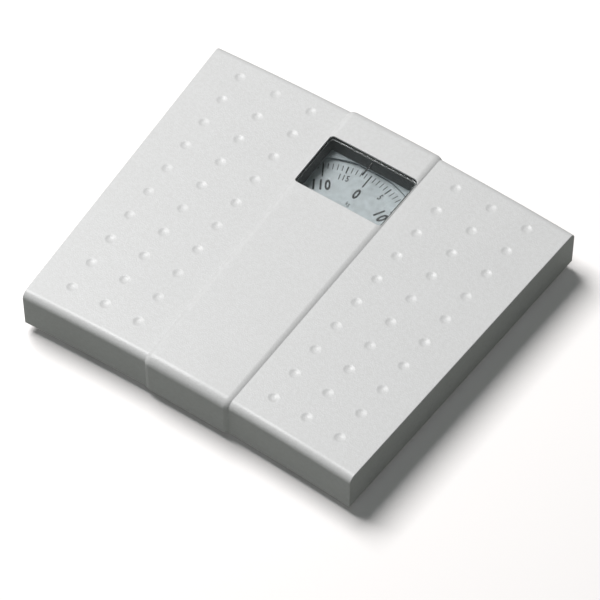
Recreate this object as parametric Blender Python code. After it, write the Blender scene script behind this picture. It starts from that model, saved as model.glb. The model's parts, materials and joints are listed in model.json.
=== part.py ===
"""A mechanical bathroom scale: a pressed steel platform on four levers that stretch one main spring,
a bell crank, a rack and a pinion that turn the dial, all on a steel base tray with rubber feet.

Metres, +Z up. +Y points from the user's heels to the dial end. The origin is on the floor, in the
middle of the scale. The outline is a slice of a ring: its side edges meet far in front of the scale,
so places on it are given as an angle and as a reach from the middle of the tread.
"""

import math

import bmesh
import bpy
from mathutils import Matrix, Vector

# Outline
FAN_RADIUS = 2.237
SIDE_ANGLE = math.radians(3.41)
FRONT_EDGE = 0.1226
BACK_EDGE = 0.1181
HEIGHT = 0.0400
SKIRT = 0.0304

# Platform
SHEET = 0.0012
EDGE_ROUND = 0.0055
CHEEK_ROUND = 0.0006
STRIP_ANGLE = math.radians(0.757)
STRIP_RAISE = 0.0015
STRIP_RAMP = 0.0044
DIMPLE_RADIUS = 0.0035
DIMPLE_DEPTH = 0.0007
DIMPLE_PITCH = 0.0225
DIMPLE_ROWS = 10
DIMPLE_COLUMNS = 3
DIMPLE_INNER_ANGLE = math.radians(1.395)
DIMPLE_STEP_ANGLE = math.radians(0.682)

# Window
WINDOW_FRONT = 0.0466
WINDOW_BACK = 0.0916
WINDOW_HALF = 0.0331
WINDOW_CORNER = 0.0030
FRAME_WALL = 0.0015
FRAME_LIP = 0.0020
FRAME_DROP = 0.0120
LENS_THICKNESS = 0.0010
INDEX_LENGTH = 0.0120
INDEX_WIDTH = 0.0011
INDEX_THICKNESS = 0.0004
INDEX_BACK_GAP = 0.0032

# Tray and feet
TRAY_GAP = 0.0030
TRAY_SHEET = 0.0010
TRAY_RIM = 0.0150
FOOT_HEIGHT = 0.0050
FOOT_RADIUS = 0.0110
FOOT_STEM = 0.0030
FOOT_ANGLE = math.radians(2.20)
FOOT_REACH = 0.1005
FOOT_EDGE = 0.0010
FOOT_TAPER = 0.0008
FOOT_BULGE = 0.0008
FOOT_BULGE_RISE = 0.0006
FOOT_STEM_OVER_FLOOR = 0.0018

# Levers
CORNER_ANGLE = math.radians(2.75)
CORNER_REACH = 0.0880
PIVOT_OVER_FLOOR = 0.0065
LOAD_ARM = 0.0140
LEVER_SHEET = 0.0020
LEVER_HALF_DEPTH = 0.0035
LEVER_TAIL = 0.0050
NOSE_SPREAD = 0.0240
NOSE_DEPTH = 0.0036
NOSE_OVERHANG = 0.0030
HOOK_SHARE = 0.50
HOOK_SLOT_HALF = 0.0045
TONGUE_DEPTH = 0.0024
TONGUE_NECK = 0.0070
TONGUE_OVERHANG = 0.0040
PIN_RADIUS = 0.0015
PIN_LENGTH = 0.0140
STAND_WIDTH = 0.0090
STAND_HALF = 0.0050
STAND_SHEET = 0.0012
STAND_OVER_PIN = 0.0020

# Hold-down springs
HOLD_X = 0.1110
HOLD_RADIUS = 0.0030
HOLD_WIRE = 0.0004
HOLD_OVER_FLOOR = 0.0025
HOLD_LENGTH = 0.0185
HOLD_TURNS = 7
HOLD_END = 0.0030
HOOK_OVER_FLOOR = 0.0235
HOOK_INNER = 0.0030
HOOK_OUTER = 0.0040

# Dial and its drive
DIAL_BEHIND_CENTRE = 0.0232
DIAL_DROP = 0.0150
DIAL_RADIUS = 0.0700
DIAL_SHEET = 0.0005
DIAL_SWEEP = math.radians(354)
SHAFT_RADIUS = 0.00125
SHAFT_POINT = 0.0008
SHAFT_OVER_CLIP = 0.0018
HUB_RADIUS = 0.0100
HUB_NECK = 0.0045
HUB_SHEET = 0.0010
CLIP_RADIUS = 0.0050
CLIP_SHEET = 0.0006
CLIP_CROWN = 0.0004
PINION_RADIUS = 0.0025
PINION_TEETH = 14
TOOTH_HEIGHT = 0.00032
TOOTH_ROOT = 0.00045
TOOTH_BACKLASH = 0.00016
GEAR_OVER_RACK = 0.0006
BRIDGE_HALF = 0.0150
BRIDGE_FOOT = 0.0210
BRIDGE_SHEET = 0.0012
BRIDGE_OVER_FLOOR = 0.0132
BRIDGE_WIDTH = 0.0120

# Rack, its guide and its spring
RACK_OVER_FLOOR = 0.0058
RACK_SHEET = 0.0012
RACK_WIDTH = 0.0060
RACK_FRONT = 0.0107
RACK_SPARE_TEETH = 4
RACK_TAIL_WIDTH = 0.0036
RACK_TAIL_SHIFT = 0.0006
RACK_TAIL_BEFORE_CRANK = 0.0048
RACK_SHOULDER = 0.0015
RACK_TAB_HALF = 0.0026
RACK_TAB_RISE = 0.0045
RACK_COIL = 0.0020
RACK_WIRE = 0.00035
RACK_SPRING_LENGTH = 0.0330
RACK_SPRING_OVER_FLOOR = 0.0090
RACK_SPRING_TURNS = 12
RACK_SPRING_END = 0.0020
RACK_SPRING_TIP = 0.0010
ANGLE_FOOT = 0.0085
ANGLE_HALF = 0.0030
SPRING_POST_OVER_FLOOR = 0.0110
GUIDE_BEHIND_DIAL_CENTRE = 0.0355
GUIDE_OVER_FLOOR = 0.0105
GUIDE_RIVET = 0.0045

# Crank
CRANK_X = -0.0120
CRANK_OVER_FLOOR = 0.0235
CRANK_BEHIND_DIAL = 0.0048
CRANK_BEHIND_FRAME = 0.0044
CRANK_DROP = 0.0150
CRANK_REACH = 0.0085
CRANK_HALF_WIDTH = 0.0008
CRANK_TOE = 0.0013
CRANK_GAP = 0.0004
CRANK_SHEET = 0.0012
CRANK_BOSS = 0.0026
CRANK_PIN_RADIUS = 0.0010
CRANK_PIN_LEFT = 0.0008
CRANK_PIN_RIGHT = 0.0012
CRANK_TIP_RADIUS = 0.0008
CRANK_TIP_LENGTH = 0.0046

# Main spring, nose plate and zero setting
SPRING_BEHIND_CRANK = 0.0060
SPRING_RADIUS = 0.0056
SPRING_WIRE = 0.0009
SPRING_TURNS = 5
SPRING_TIP = 0.0005
NOSE_PLATE_OVER_FLOOR = 0.01075
NOSE_PLATE_SHEET = 0.0012
NOSE_PLATE_HALF = 0.0280
NOSE_PLATE_FRONT = 0.0080
NOSE_PLATE_BACK = 0.0078
NOSE_PLATE_SLOT_GAP = 0.0004
NOSE_PLATE_HOLE = 0.0030
RACK_SLOT_GAP = 0.0006
LUG_FRONT = 0.0015
LUG_BACK = 0.0025
CARRIER_OVER_FLOOR = 0.0250
CARRIER_SHEET = 0.0015
CARRIER_LEFT = 0.0082
CARRIER_HALF = 0.0060
CARRIER_GAP = 0.0007
CARRIER_TONGUE = 0.0038
TONGUE_OUT = 0.0020
TONGUE_SLOT_DROP = 0.0070
COLLAR_RADIUS = 0.0040
SCREW_RADIUS = 0.0020
SCREW_CHAMFER = 0.0006
SCREW_OVER_FLOOR = 0.0285
WHEEL_RADIUS = 0.0120
WHEEL_THICKNESS = 0.0034
WHEEL_GRIPS = 24
WHEEL_GROOVE = 0.0007
BRACKET_SHEET = 0.0014
BRACKET_HALF = 0.0190
BRACKET_OVER_FLOOR = 0.0270
BRACKET_FRONT = 0.0150
BRACKET_BACK = 0.0048
EAR_HALF = 0.0033
EAR_RIVET_X = 0.0155

# Fits
CLEARANCE = 0.0003
PIN_CLEARANCE = 0.0003
RIVET_RADIUS = 0.0015
RIVET_HEAD = 0.0027
RIVET_DOME = 0.0008
CUT_PAST = 0.0040
MERGE = 0.000001

# Places worked out from the sizes above
TREAD_HEIGHT = HEIGHT - STRIP_RAISE
SKIRT_BOTTOM = TREAD_HEIGHT - SKIRT
UNDERSIDE = TREAD_HEIGHT - SHEET
BACK_END = BACK_EDGE + STRIP_RAISE
FRONT_END = FAN_RADIUS - (FAN_RADIUS - FRONT_EDGE) * math.cos(SIDE_ANGLE)
CENTRE_Y = (FRONT_END - BACK_END) / 2
FLOOR = FOOT_HEIGHT + TRAY_SHEET
BENCH = FLOOR + CLEARANCE
DIAL_Y = CENTRE_Y + DIAL_BEHIND_CENTRE
DIAL_TOP = TREAD_HEIGHT - DIAL_DROP
FRAME_BACK = CENTRE_Y + WINDOW_BACK + FRAME_LIP
CRANK_Y = max(DIAL_Y + DIAL_RADIUS + CRANK_BEHIND_DIAL, FRAME_BACK + CRANK_BEHIND_FRAME)
SPRING_Y = CRANK_Y + SPRING_BEHIND_CRANK
PIVOT_HEIGHT = FLOOR + PIVOT_OVER_FLOOR
BRIDGE_TOP = FLOOR + BRIDGE_OVER_FLOOR
RACK_BASE = FLOOR + RACK_OVER_FLOOR
RACK_TOP = RACK_BASE + RACK_SHEET
CRANK_HEIGHT = FLOOR + CRANK_OVER_FLOOR
NOSE_PLATE_BASE = FLOOR + NOSE_PLATE_OVER_FLOOR
CARRIER_BASE = FLOOR + CARRIER_OVER_FLOOR
HOOK_HEIGHT = FLOOR + HOOK_OVER_FLOOR
HOLD_BASE = FLOOR + HOLD_OVER_FLOOR
RACK_TRAVEL = PINION_RADIUS * DIAL_SWEEP
HALF_SWING = math.asin(RACK_TRAVEL / (2 * CRANK_DROP))
NOSE_TRAVEL = 2 * CRANK_REACH * math.sin(HALF_SWING)
NOSE_PLATE_TOP = NOSE_PLATE_BASE + NOSE_PLATE_SHEET
FRAME_TOP = UNDERSIDE - CLEARANCE
LENS_BASE = FRAME_TOP + CLEARANCE

WHITE_ENAMEL = ("white_enamel", (0.80, 0.80, 0.77), 0.45, 0.0)
CLEAR_PLASTIC = ("clear_plastic", (0.90, 0.93, 0.93), 0.05, 0.0)
DARK_PLASTIC = ("dark_plastic", (0.06, 0.06, 0.06), 0.50, 0.0)
BLACK_PRINT = ("black_print", (0.01, 0.01, 0.01), 0.60, 0.0)
TRAY_STEEL = ("tray_steel", (0.45, 0.46, 0.47), 0.40, 1.0)
ZINC_STEEL = ("zinc_steel", (0.62, 0.62, 0.60), 0.35, 1.0)
SPRING_STEEL = ("spring_steel", (0.30, 0.30, 0.31), 0.30, 1.0)
BRASS = ("brass", (0.72, 0.53, 0.25), 0.30, 1.0)
DIAL_PLASTIC = ("dial_plastic", (0.55, 0.60, 0.63), 0.50, 0.0)
GREY_PLASTIC = ("grey_plastic", (0.20, 0.20, 0.21), 0.50, 0.0)
RUBBER = ("rubber", (0.03, 0.03, 0.03), 0.80, 0.0)


def fan(angle, reach, height=None):
    """The place at this angle, this far behind the middle of the tread along the fan."""
    radius = FAN_RADIUS + reach
    place = (radius * math.sin(angle), CENTRE_Y + radius * math.cos(angle) - FAN_RADIUS)
    return place if height is None else (*place, height)


def finish(finish_of):
    """The material with this finish, made once."""
    name, colour, roughness, metallic = finish_of
    found = bpy.data.materials.get(name)
    if found:
        return found
    made = bpy.data.materials.new(name)
    made.use_nodes = True
    shader = made.node_tree.nodes["Principled BSDF"]
    shader.inputs["Base Color"].default_value = (*colour, 1.0)
    shader.inputs["Roughness"].default_value = roughness
    shader.inputs["Metallic"].default_value = metallic
    return made


def place(name, mesh, finish_of, origin=(0, 0, 0)):
    """An object whose origin is at this point and whose shape stays where it was made."""
    bmesh.ops.translate(mesh, verts=mesh.verts, vec=-Vector(origin))
    data = bpy.data.meshes.new(name)
    mesh.to_mesh(data)
    mesh.free()
    made = bpy.data.objects.new(name, data)
    made.location = origin
    bpy.context.scene.collection.objects.link(made)
    if finish_of:
        data.materials.append(finish(finish_of))
    return made


def smooth(made, angle=math.radians(35)):
    made.data.shade_smooth()
    made.data.set_sharp_from_angle(angle=angle)
    return made


def combine(made, meshes, operation="DIFFERENCE"):
    """Cuts these closed meshes from the object, or joins them to it."""
    tool_mesh = bmesh.new()
    for mesh in meshes:
        data = bpy.data.meshes.new("part_of_tool")
        mesh.to_mesh(data)
        mesh.free()
        tool_mesh.from_mesh(data)
        bpy.data.meshes.remove(data)
    tool = place(f"{made.name}_{operation.lower()}", tool_mesh, None)
    tool.hide_render = True
    tool.display_type = "WIRE"
    step = made.modifiers.new(operation.title(), "BOOLEAN")
    step.operation = operation
    step.solver = "EXACT"
    step.object = tool
    return made


def loft(rings):
    """A closed solid through rings that have as many points each."""
    mesh = bmesh.new()
    rows = [[mesh.verts.new(point) for point in ring] for ring in rings]
    for low, high in zip(rows, rows[1:]):
        for a, b, c, d in zip(low, low[1:] + low[:1], high[1:] + high[:1], high):
            mesh.faces.new((a, b, c, d))
    mesh.faces.new(rows[0][::-1])
    mesh.faces.new(rows[-1])
    bmesh.ops.recalc_face_normals(mesh, faces=mesh.faces)
    return mesh


def prism(outline, low, high):
    return loft([[(x, y, z) for x, y in outline] for z in (low, high)])


def slab(outline, low, high, axis):
    """A prism whose outline lies in the plane across X or Y, between two places on that axis."""
    if axis == "X":
        return loft([[(at, u, v) for u, v in outline] for at in (low, high)])
    return loft([[(u, at, v) for u, v in outline] for at in (low, high)])


def box(low, high):
    corners = ((low[0], low[1]), (high[0], low[1]), (high[0], high[1]), (low[0], high[1]))
    return prism(corners, low[2], high[2])


def arc(centre, radius, start, end, steps):
    """Points along an arc, with the angles in degrees."""
    turns = (math.radians(start + (end - start) * i / steps) for i in range(steps + 1))
    return [(centre[0] + radius * math.cos(t), centre[1] + radius * math.sin(t)) for t in turns]


def turned(profile, centre, steps=16, hollow=False):
    """A profile of (radius, height) points turned about the vertical through the centre."""
    mesh = bmesh.new()
    points = [mesh.verts.new((radius, 0, height)) for radius, height in profile]
    edges = [mesh.edges.new(pair) for pair in zip(points, points[1:])]
    if hollow:
        edges.append(mesh.edges.new((points[-1], points[0])))
    bmesh.ops.spin(
        mesh, geom=points + edges, cent=(0, 0, 0), axis=(0, 0, 1), angle=math.tau, steps=steps
    )
    bmesh.ops.remove_doubles(mesh, verts=mesh.verts, dist=MERGE)
    bmesh.ops.recalc_face_normals(mesh, faces=mesh.faces)
    bmesh.ops.translate(mesh, verts=mesh.verts, vec=(centre[0], centre[1], 0))
    return mesh


def round_bar(centre, radius, low, high, steps=12):
    return turned([(0, low), (radius, low), (radius, high), (0, high)], centre, steps)


def cross_bar(radius):
    """A round cutter through the origin that is longer than any sheet it cuts."""
    return round_bar((0, 0), radius, -CUT_PAST, CUT_PAST)


def moved(mesh, matrix):
    bmesh.ops.transform(mesh, verts=mesh.verts, matrix=matrix)
    return mesh


def coil(name, radius, wire, length, turns, tails, matrix, origin, sides=8):
    """A spring about its own Z axis, with a straight tail along that axis at each end."""
    points = [(radius, 0, -tails[0]), (radius, 0, -wire)]
    steps = sides * turns
    for i in range(steps + 1):
        turn = math.tau * i / sides
        points.append((radius * math.cos(turn), radius * math.sin(turn), length * i / steps))
    points += [(radius, 0, length + wire), (radius, 0, length + tails[1])]
    curve = bpy.data.curves.new(name, "CURVE")
    curve.dimensions = "3D"
    curve.bevel_depth = wire
    curve.bevel_resolution = 0 if sides < 12 else 1
    curve.use_fill_caps = True
    spline = curve.splines.new("POLY")
    spline.points.add(len(points) - 1)
    for slot, point in zip(spline.points, points):
        slot.co = (*(matrix @ Vector(point) - Vector(origin)), 1)
    curve.materials.append(finish(SPRING_STEEL))
    made = bpy.data.objects.new(name, curve)
    made.location = origin
    bpy.context.scene.collection.objects.link(made)
    return made


# Platform and window


def strip_raise(angle):
    """How far the middle strip stands over the treads at this angle."""
    past = (abs(angle) - STRIP_ANGLE) * FAN_RADIUS / STRIP_RAMP
    return STRIP_RAISE * (1 - min(max(past, 0), 1))


def cover_ring(angle, inset, side_drop=0.0, bottom=SKIRT_BOTTOM):
    """The cover's section at one angle: up the front skirt, over the top and down the back."""
    raised = strip_raise(angle) - inset
    front = -FRONT_EDGE - raised
    back = BACK_EDGE + raised
    top = TREAD_HEIGHT + raised - side_drop
    radius = EDGE_ROUND - inset
    section = [(front, bottom)]
    section += arc((front + radius, top - radius), radius, 180, 90, 4)
    section += arc((back - radius, top - radius), radius, 90, 0, 4)
    section.append((back, bottom))
    return [fan(angle, reach, height) for reach, height in section]


def cover_angles(side):
    """The angles at which the cover's section is drawn, from its left side to its right side."""
    ramp_end = STRIP_ANGLE + STRIP_RAMP / FAN_RADIUS
    field = [side + (ramp_end - side) * i / 4 for i in range(5)]
    half = field + [STRIP_ANGLE, STRIP_ANGLE / 2]
    return [-a for a in half] + [0.0] + half[::-1]


def dimple(angle, reach):
    centre = fan(angle, reach)
    above = TREAD_HEIGHT + DIMPLE_DEPTH
    rim = DIMPLE_RADIUS
    profile = [(0, above), (rim, above), (rim, TREAD_HEIGHT)]
    profile += [(rim * 0.6, TREAD_HEIGHT - DIMPLE_DEPTH * 0.7), (0, TREAD_HEIGHT - DIMPLE_DEPTH)]
    return turned(profile, centre, 10)


def dimple_places():
    rows = [(row - (DIMPLE_ROWS - 1) / 2) * DIMPLE_PITCH for row in range(DIMPLE_ROWS)]
    for side in (-1, 1):
        for column in range(DIMPLE_COLUMNS):
            for reach in rows:
                yield side * (DIMPLE_INNER_ANGLE + column * DIMPLE_STEP_ANGLE), reach


def window_outline(grow):
    """The window's rounded outline, made larger all round by this much."""
    corner = max(WINDOW_CORNER + grow, 0.0005)
    half = WINDOW_HALF + grow
    front = WINDOW_FRONT - grow
    back = WINDOW_BACK + grow
    points = arc((half - corner, front + corner), corner, -90, 0, 4)
    points += arc((half - corner, back - corner), corner, 0, 90, 4)
    points += arc((corner - half, back - corner), corner, 90, 180, 4)
    points += arc((corner - half, front + corner), corner, 180, 270, 4)
    return [fan(across / FAN_RADIUS, reach) for across, reach in points]


def platform_cover():
    angles = cover_angles(SIDE_ANGLE - CHEEK_ROUND / FAN_RADIUS)
    rings = [cover_ring(angle, 0) for angle in angles]
    rings.insert(0, cover_ring(-SIDE_ANGLE, 0, CHEEK_ROUND))
    rings.append(cover_ring(SIDE_ANGLE, 0, CHEEK_ROUND))
    made = place("platform_cover", loft(rings), WHITE_ENAMEL)
    inner_side = SIDE_ANGLE - SHEET / FAN_RADIUS
    hollow = loft([cover_ring(angle, SHEET, bottom=0.0) for angle in cover_angles(inner_side)])
    window = prism(window_outline(0), UNDERSIDE - SHEET, HEIGHT + SHEET)
    combine(made, [hollow])
    combine(made, [window, *(dimple(angle, reach) for angle, reach in dimple_places())])
    return smooth(made)


def window_frame():
    base = FRAME_TOP - FRAME_DROP
    made = place("window_frame", prism(window_outline(FRAME_LIP), base, FRAME_TOP), DARK_PLASTIC)
    opening = prism(window_outline(-FRAME_WALL), base - SHEET, FRAME_TOP + SHEET)
    return smooth(combine(made, [opening]))


def window_lens():
    mesh = prism(window_outline(-CLEARANCE), LENS_BASE, LENS_BASE + LENS_THICKNESS)
    return smooth(place("window_lens", mesh, CLEAR_PLASTIC))


def index_line():
    top = LENS_BASE - CLEARANCE
    back = CENTRE_Y + WINDOW_BACK - INDEX_BACK_GAP
    low = (-INDEX_WIDTH / 2, back - INDEX_LENGTH, top - INDEX_THICKNESS)
    return place("index_line", box(low, (INDEX_WIDTH / 2, back, top)), BLACK_PRINT)


# Levers, their stands and the posts that load them


class Lever:
    """One lever's line: from its fulcrum towards its nose."""

    def __init__(self, name, start, end, load_arm):
        self.name = name
        self.load_arm = load_arm
        self.start = Vector((*start, PIVOT_HEIGHT))
        along = Vector((*end, PIVOT_HEIGHT)) - self.start
        self.length = along.length
        self.along = along.normalized()
        self.across = Vector((0, 0, 1)).cross(self.along)

    def frame(self, distance=0.0):
        """Axes along the lever, across it and up, from this far along."""
        at = self.start + self.along * distance
        columns = (self.along, self.across, Vector((0, 0, 1)), at)
        return Matrix([[*(c[i] for c in columns)] for i in range(3)] + [[0, 0, 0, 1]])


def levers():
    """The four levers: the short ones hook into the long ones, sized so that each corner weighs alike."""
    found = []
    for name, side in (("left", -1), ("right", 1)):
        front = fan(side * CORNER_ANGLE, -CORNER_REACH)
        back = fan(side * CORNER_ANGLE, CORNER_REACH)
        nose = (side * NOSE_SPREAD, SPRING_Y)
        long_one = Lever(f"long_lever_{name}", front, nose, LOAD_ARM)
        hook = (long_one.start + long_one.along * (long_one.length * HOOK_SHARE)).to_2d()
        reach = (hook - Vector(back)).length
        arm = LOAD_ARM * reach / (long_one.length * HOOK_SHARE)
        found += [long_one, Lever(f"short_lever_{name}", back, hook, arm)]
    return found


def lever_slope(lever, distance):
    """The lowest and highest edge of a long lever at this distance, over its fulcrum."""
    nose_low = NOSE_PLATE_TOP + CLEARANCE - PIVOT_HEIGHT
    start = lever.load_arm + 2 * LEVER_TAIL
    share = (distance - start) / (lever.length - start)
    low = -LEVER_HALF_DEPTH + (nose_low + LEVER_HALF_DEPTH) * share
    high = LEVER_HALF_DEPTH + (nose_low + NOSE_DEPTH - LEVER_HALF_DEPTH) * share
    return low, high


def lever_plate(lever, outline, cutters):
    """The lever's upright plate with its holes, and its two cross pins."""
    half = LEVER_SHEET / 2
    mesh = moved(slab(outline, -half, half, "Y"), lever.frame())
    made = place(lever.name, mesh, ZINC_STEEL, lever.start)
    sideways = Matrix.Rotation(math.pi / 2, 4, "X")
    holes = []
    for kind, distance in (("fulcrum", 0.0), ("load", lever.load_arm)):
        frame = lever.frame(distance) @ sideways
        holes.append(moved(cross_bar(PIN_RADIUS + PIN_CLEARANCE), frame))
        end = PIN_LENGTH / 2
        chamfer = PIN_RADIUS * 0.7
        profile = [(0, -end), (chamfer, -end), (PIN_RADIUS, chamfer - end - PIN_RADIUS * 0.4)]
        profile += [(radius, -height) for radius, height in profile[::-1]]
        pin = place(
            f"{kind}_pin_{lever.name.replace('_lever', '')}",
            moved(turned(profile, (0, 0), 12), frame),
            SPRING_STEEL,
            lever.start,
        )
        smooth(pin)
    return combine(made, holes + cutters)


def long_lever(lever):
    start = lever.load_arm + 2 * LEVER_TAIL
    nose_low, nose_high = lever_slope(lever, lever.length)
    end = lever.length + NOSE_OVERHANG
    outline = [(-LEVER_TAIL, -LEVER_HALF_DEPTH), (start, -LEVER_HALF_DEPTH)]
    outline += [(lever.length - NOSE_OVERHANG, nose_low), (lever.length, nose_low)]
    outline += [(end, nose_low + NOSE_OVERHANG / 3), (end, nose_high)]
    outline += [(start, LEVER_HALF_DEPTH), (-LEVER_TAIL, LEVER_HALF_DEPTH)]
    low, high = lever_slope(lever, lever.length * HOOK_SHARE)
    ledge = low + (high - low - TONGUE_DEPTH) / 3
    frame = lever.frame(lever.length * HOOK_SHARE)
    slot_end = ledge + TONGUE_DEPTH + 3 * CLEARANCE
    low_corner = (-HOOK_SLOT_HALF, -CUT_PAST, ledge)
    slot = moved(box(low_corner, (HOOK_SLOT_HALF, CUT_PAST, slot_end)), frame)
    return lever_plate(lever, outline, [slot])


def short_lever(lever, long_one):
    low, high = lever_slope(long_one, long_one.length * HOOK_SHARE)
    tongue_low = low + (high - low - TONGUE_DEPTH) / 3 + CLEARANCE
    tongue_high = tongue_low + TONGUE_DEPTH
    start = lever.load_arm + 2 * LEVER_TAIL
    neck = lever.length - TONGUE_NECK
    end = lever.length + TONGUE_OVERHANG
    outline = [(-LEVER_TAIL, -LEVER_HALF_DEPTH), (start, -LEVER_HALF_DEPTH)]
    outline += [(neck, tongue_low), (end, tongue_low), (end, tongue_high), (neck, tongue_high)]
    outline += [(start, LEVER_HALF_DEPTH), (-LEVER_TAIL, LEVER_HALF_DEPTH)]
    return lever_plate(lever, outline, [])


def stirrup(lever, name, distance, base, tip, notch_up):
    """A bent strip with two legs beside the lever and a rounded notch in each for a cross pin."""
    step = STAND_SHEET if tip > base else -STAND_SHEET
    inner = STAND_HALF - STAND_SHEET
    outline = [(-STAND_HALF, base), (STAND_HALF, base), (STAND_HALF, tip), (inner, tip)]
    outline += [(inner, base + step), (-inner, base + step), (-inner, tip), (-STAND_HALF, tip)]
    half = STAND_WIDTH / 2
    frame = lever.frame(distance)
    made = place(name, moved(slab(outline, -half, half, "X"), frame), ZINC_STEEL)
    radius = PIN_RADIUS + PIN_CLEARANCE
    open_end = tip + STAND_OVER_PIN if notch_up else tip - STAND_OVER_PIN
    notch = arc((0, 0), radius, 180, 360, 8) if notch_up else arc((0, 0), radius, 0, 180, 8)
    notch += [(notch[-1][0], open_end), (notch[0][0], open_end)]
    return made, moved(slab(notch, -2 * STAND_HALF, 2 * STAND_HALF, "Y"), frame)


def rivet(name, centre, top):
    """A rivet that clamps a bracket's base to the tray's floor."""
    low = FOOT_HEIGHT - CLEARANCE
    high = top + CLEARANCE
    profile = [(0, low - RIVET_DOME), (RIVET_HEAD * 0.7, low - RIVET_DOME), (RIVET_HEAD, low)]
    profile += [(RIVET_RADIUS, low), (RIVET_RADIUS, high)]
    profile += [(RIVET_HEAD, high), (RIVET_HEAD * 0.7, high + RIVET_DOME), (0, high + RIVET_DOME)]
    return smooth(place(name, turned(profile, centre, 12), ZINC_STEEL))


def rivet_hole(centre):
    return round_bar(centre, RIVET_RADIUS + PIN_CLEARANCE, 0.0, BENCH + CUT_PAST)


def lever_supports(lever):
    """The riveted stand under the fulcrum pin and the post of the platform over the load pin."""
    corner = lever.name.replace("_lever", "")
    top = STAND_OVER_PIN
    base = BENCH - PIVOT_HEIGHT
    stand, notch = stirrup(lever, f"fulcrum_stand_{corner}", 0.0, base, top, True)
    centre = tuple(lever.start.to_2d())
    combine(stand, [notch, rivet_hole(centre)])
    rivet(f"rivet_{corner}", centre, BENCH + STAND_SHEET)
    under = UNDERSIDE - CLEARANCE - PIVOT_HEIGHT
    name = f"platform_post_{corner}"
    post, notch = stirrup(lever, name, lever.load_arm, under, -STAND_OVER_PIN, False)
    combine(post, [notch])
    return centre


# Tray, feet and what is riveted to the tray


def tray_ring(angle, inset, low, high):
    front = -(FRONT_EDGE - SHEET - TRAY_GAP - inset)
    back = BACK_EDGE - SHEET - TRAY_GAP - inset
    section = [(front, low), (front, high), (back, high), (back, low)]
    return [fan(angle, reach, height) for reach, height in section]


def base_tray(rivets, feet):
    side = SIDE_ANGLE - (SHEET + TRAY_GAP) / FAN_RADIUS
    inner = side - TRAY_SHEET / FAN_RADIUS
    rim = FOOT_HEIGHT + TRAY_RIM
    steps = [i / 5 - 1 for i in range(11)]
    outer = [tray_ring(side * step, 0, FOOT_HEIGHT, rim) for step in steps]
    hollow = [tray_ring(inner * step, TRAY_SHEET, FLOOR, rim + TRAY_SHEET) for step in steps]
    made = place("base_tray", loft(outer), TRAY_STEEL)
    combine(made, [loft(hollow)])
    holes = [rivet_hole(centre) for centre in rivets]
    holes += [round_bar(c, FOOT_STEM + PIN_CLEARANCE, 0, BENCH) for c in feet]
    holes.append(round_bar((0, SPRING_Y), SCREW_RADIUS + PIN_CLEARANCE, 0, BENCH))
    holes += [round_bar(tail, HOLD_WIRE + PIN_CLEARANCE, 0, BENCH) for tail in hold_tails()]
    return combine(made, holes)


def foot(name, centre):
    """A rubber foot whose stem snaps through a hole in the tray."""
    top = FOOT_HEIGHT - CLEARANCE
    over = FLOOR + CLEARANCE
    bulge = FOOT_STEM + FOOT_BULGE
    tip = over + FOOT_STEM_OVER_FLOOR
    profile = [(0, 0), (FOOT_RADIUS - FOOT_EDGE, 0), (FOOT_RADIUS, FOOT_EDGE)]
    profile += [(FOOT_RADIUS - FOOT_TAPER, top), (FOOT_STEM, top), (FOOT_STEM, over), (bulge, over)]
    profile += [(bulge, over + FOOT_BULGE_RISE), (FOOT_STEM - FOOT_EDGE, tip), (0, tip)]
    return smooth(place(name, turned(profile, centre, 20), RUBBER))


def hold_tails():
    return [(side * HOLD_X + HOLD_RADIUS, CENTRE_Y) for side in (-1, 1)]


def hold_down(name, side, tail):
    """The spring that keeps the platform on its levers, and the hook on the platform that it pulls."""
    at = Vector((side * HOLD_X, CENTRE_Y, HOLD_BASE))
    reach = HOOK_HEIGHT + HOLD_END - HOLD_BASE - HOLD_LENGTH
    tails = (HOLD_BASE - FOOT_HEIGHT - CLEARANCE, reach)
    matrix = Matrix.Translation(at)
    size = (HOLD_RADIUS, HOLD_WIRE, HOLD_LENGTH, HOLD_TURNS)
    coil(f"hold_down_spring_{name}", *size, tails, matrix, at)
    inner = tail[0] - side * HOOK_INNER
    outer = tail[0] + side * HOOK_OUTER
    bend = outer + side * STAND_SHEET
    top = UNDERSIDE - CLEARANCE
    section = [(inner, HOOK_HEIGHT), (bend, HOOK_HEIGHT), (bend, top), (outer, top)]
    section += [(outer, HOOK_HEIGHT + STAND_SHEET), (inner, HOOK_HEIGHT + STAND_SHEET)]
    half = STAND_WIDTH / 2
    hook = place(
        f"hold_down_hook_{name}", slab(section, tail[1] - half, tail[1] + half, "Y"), ZINC_STEEL
    )
    eye = round_bar(tail, HOLD_WIRE + PIN_CLEARANCE, HOOK_HEIGHT - CUT_PAST, HOOK_HEIGHT + CUT_PAST)
    return combine(hook, [eye])


# Dial, pinion and bridge


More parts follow.
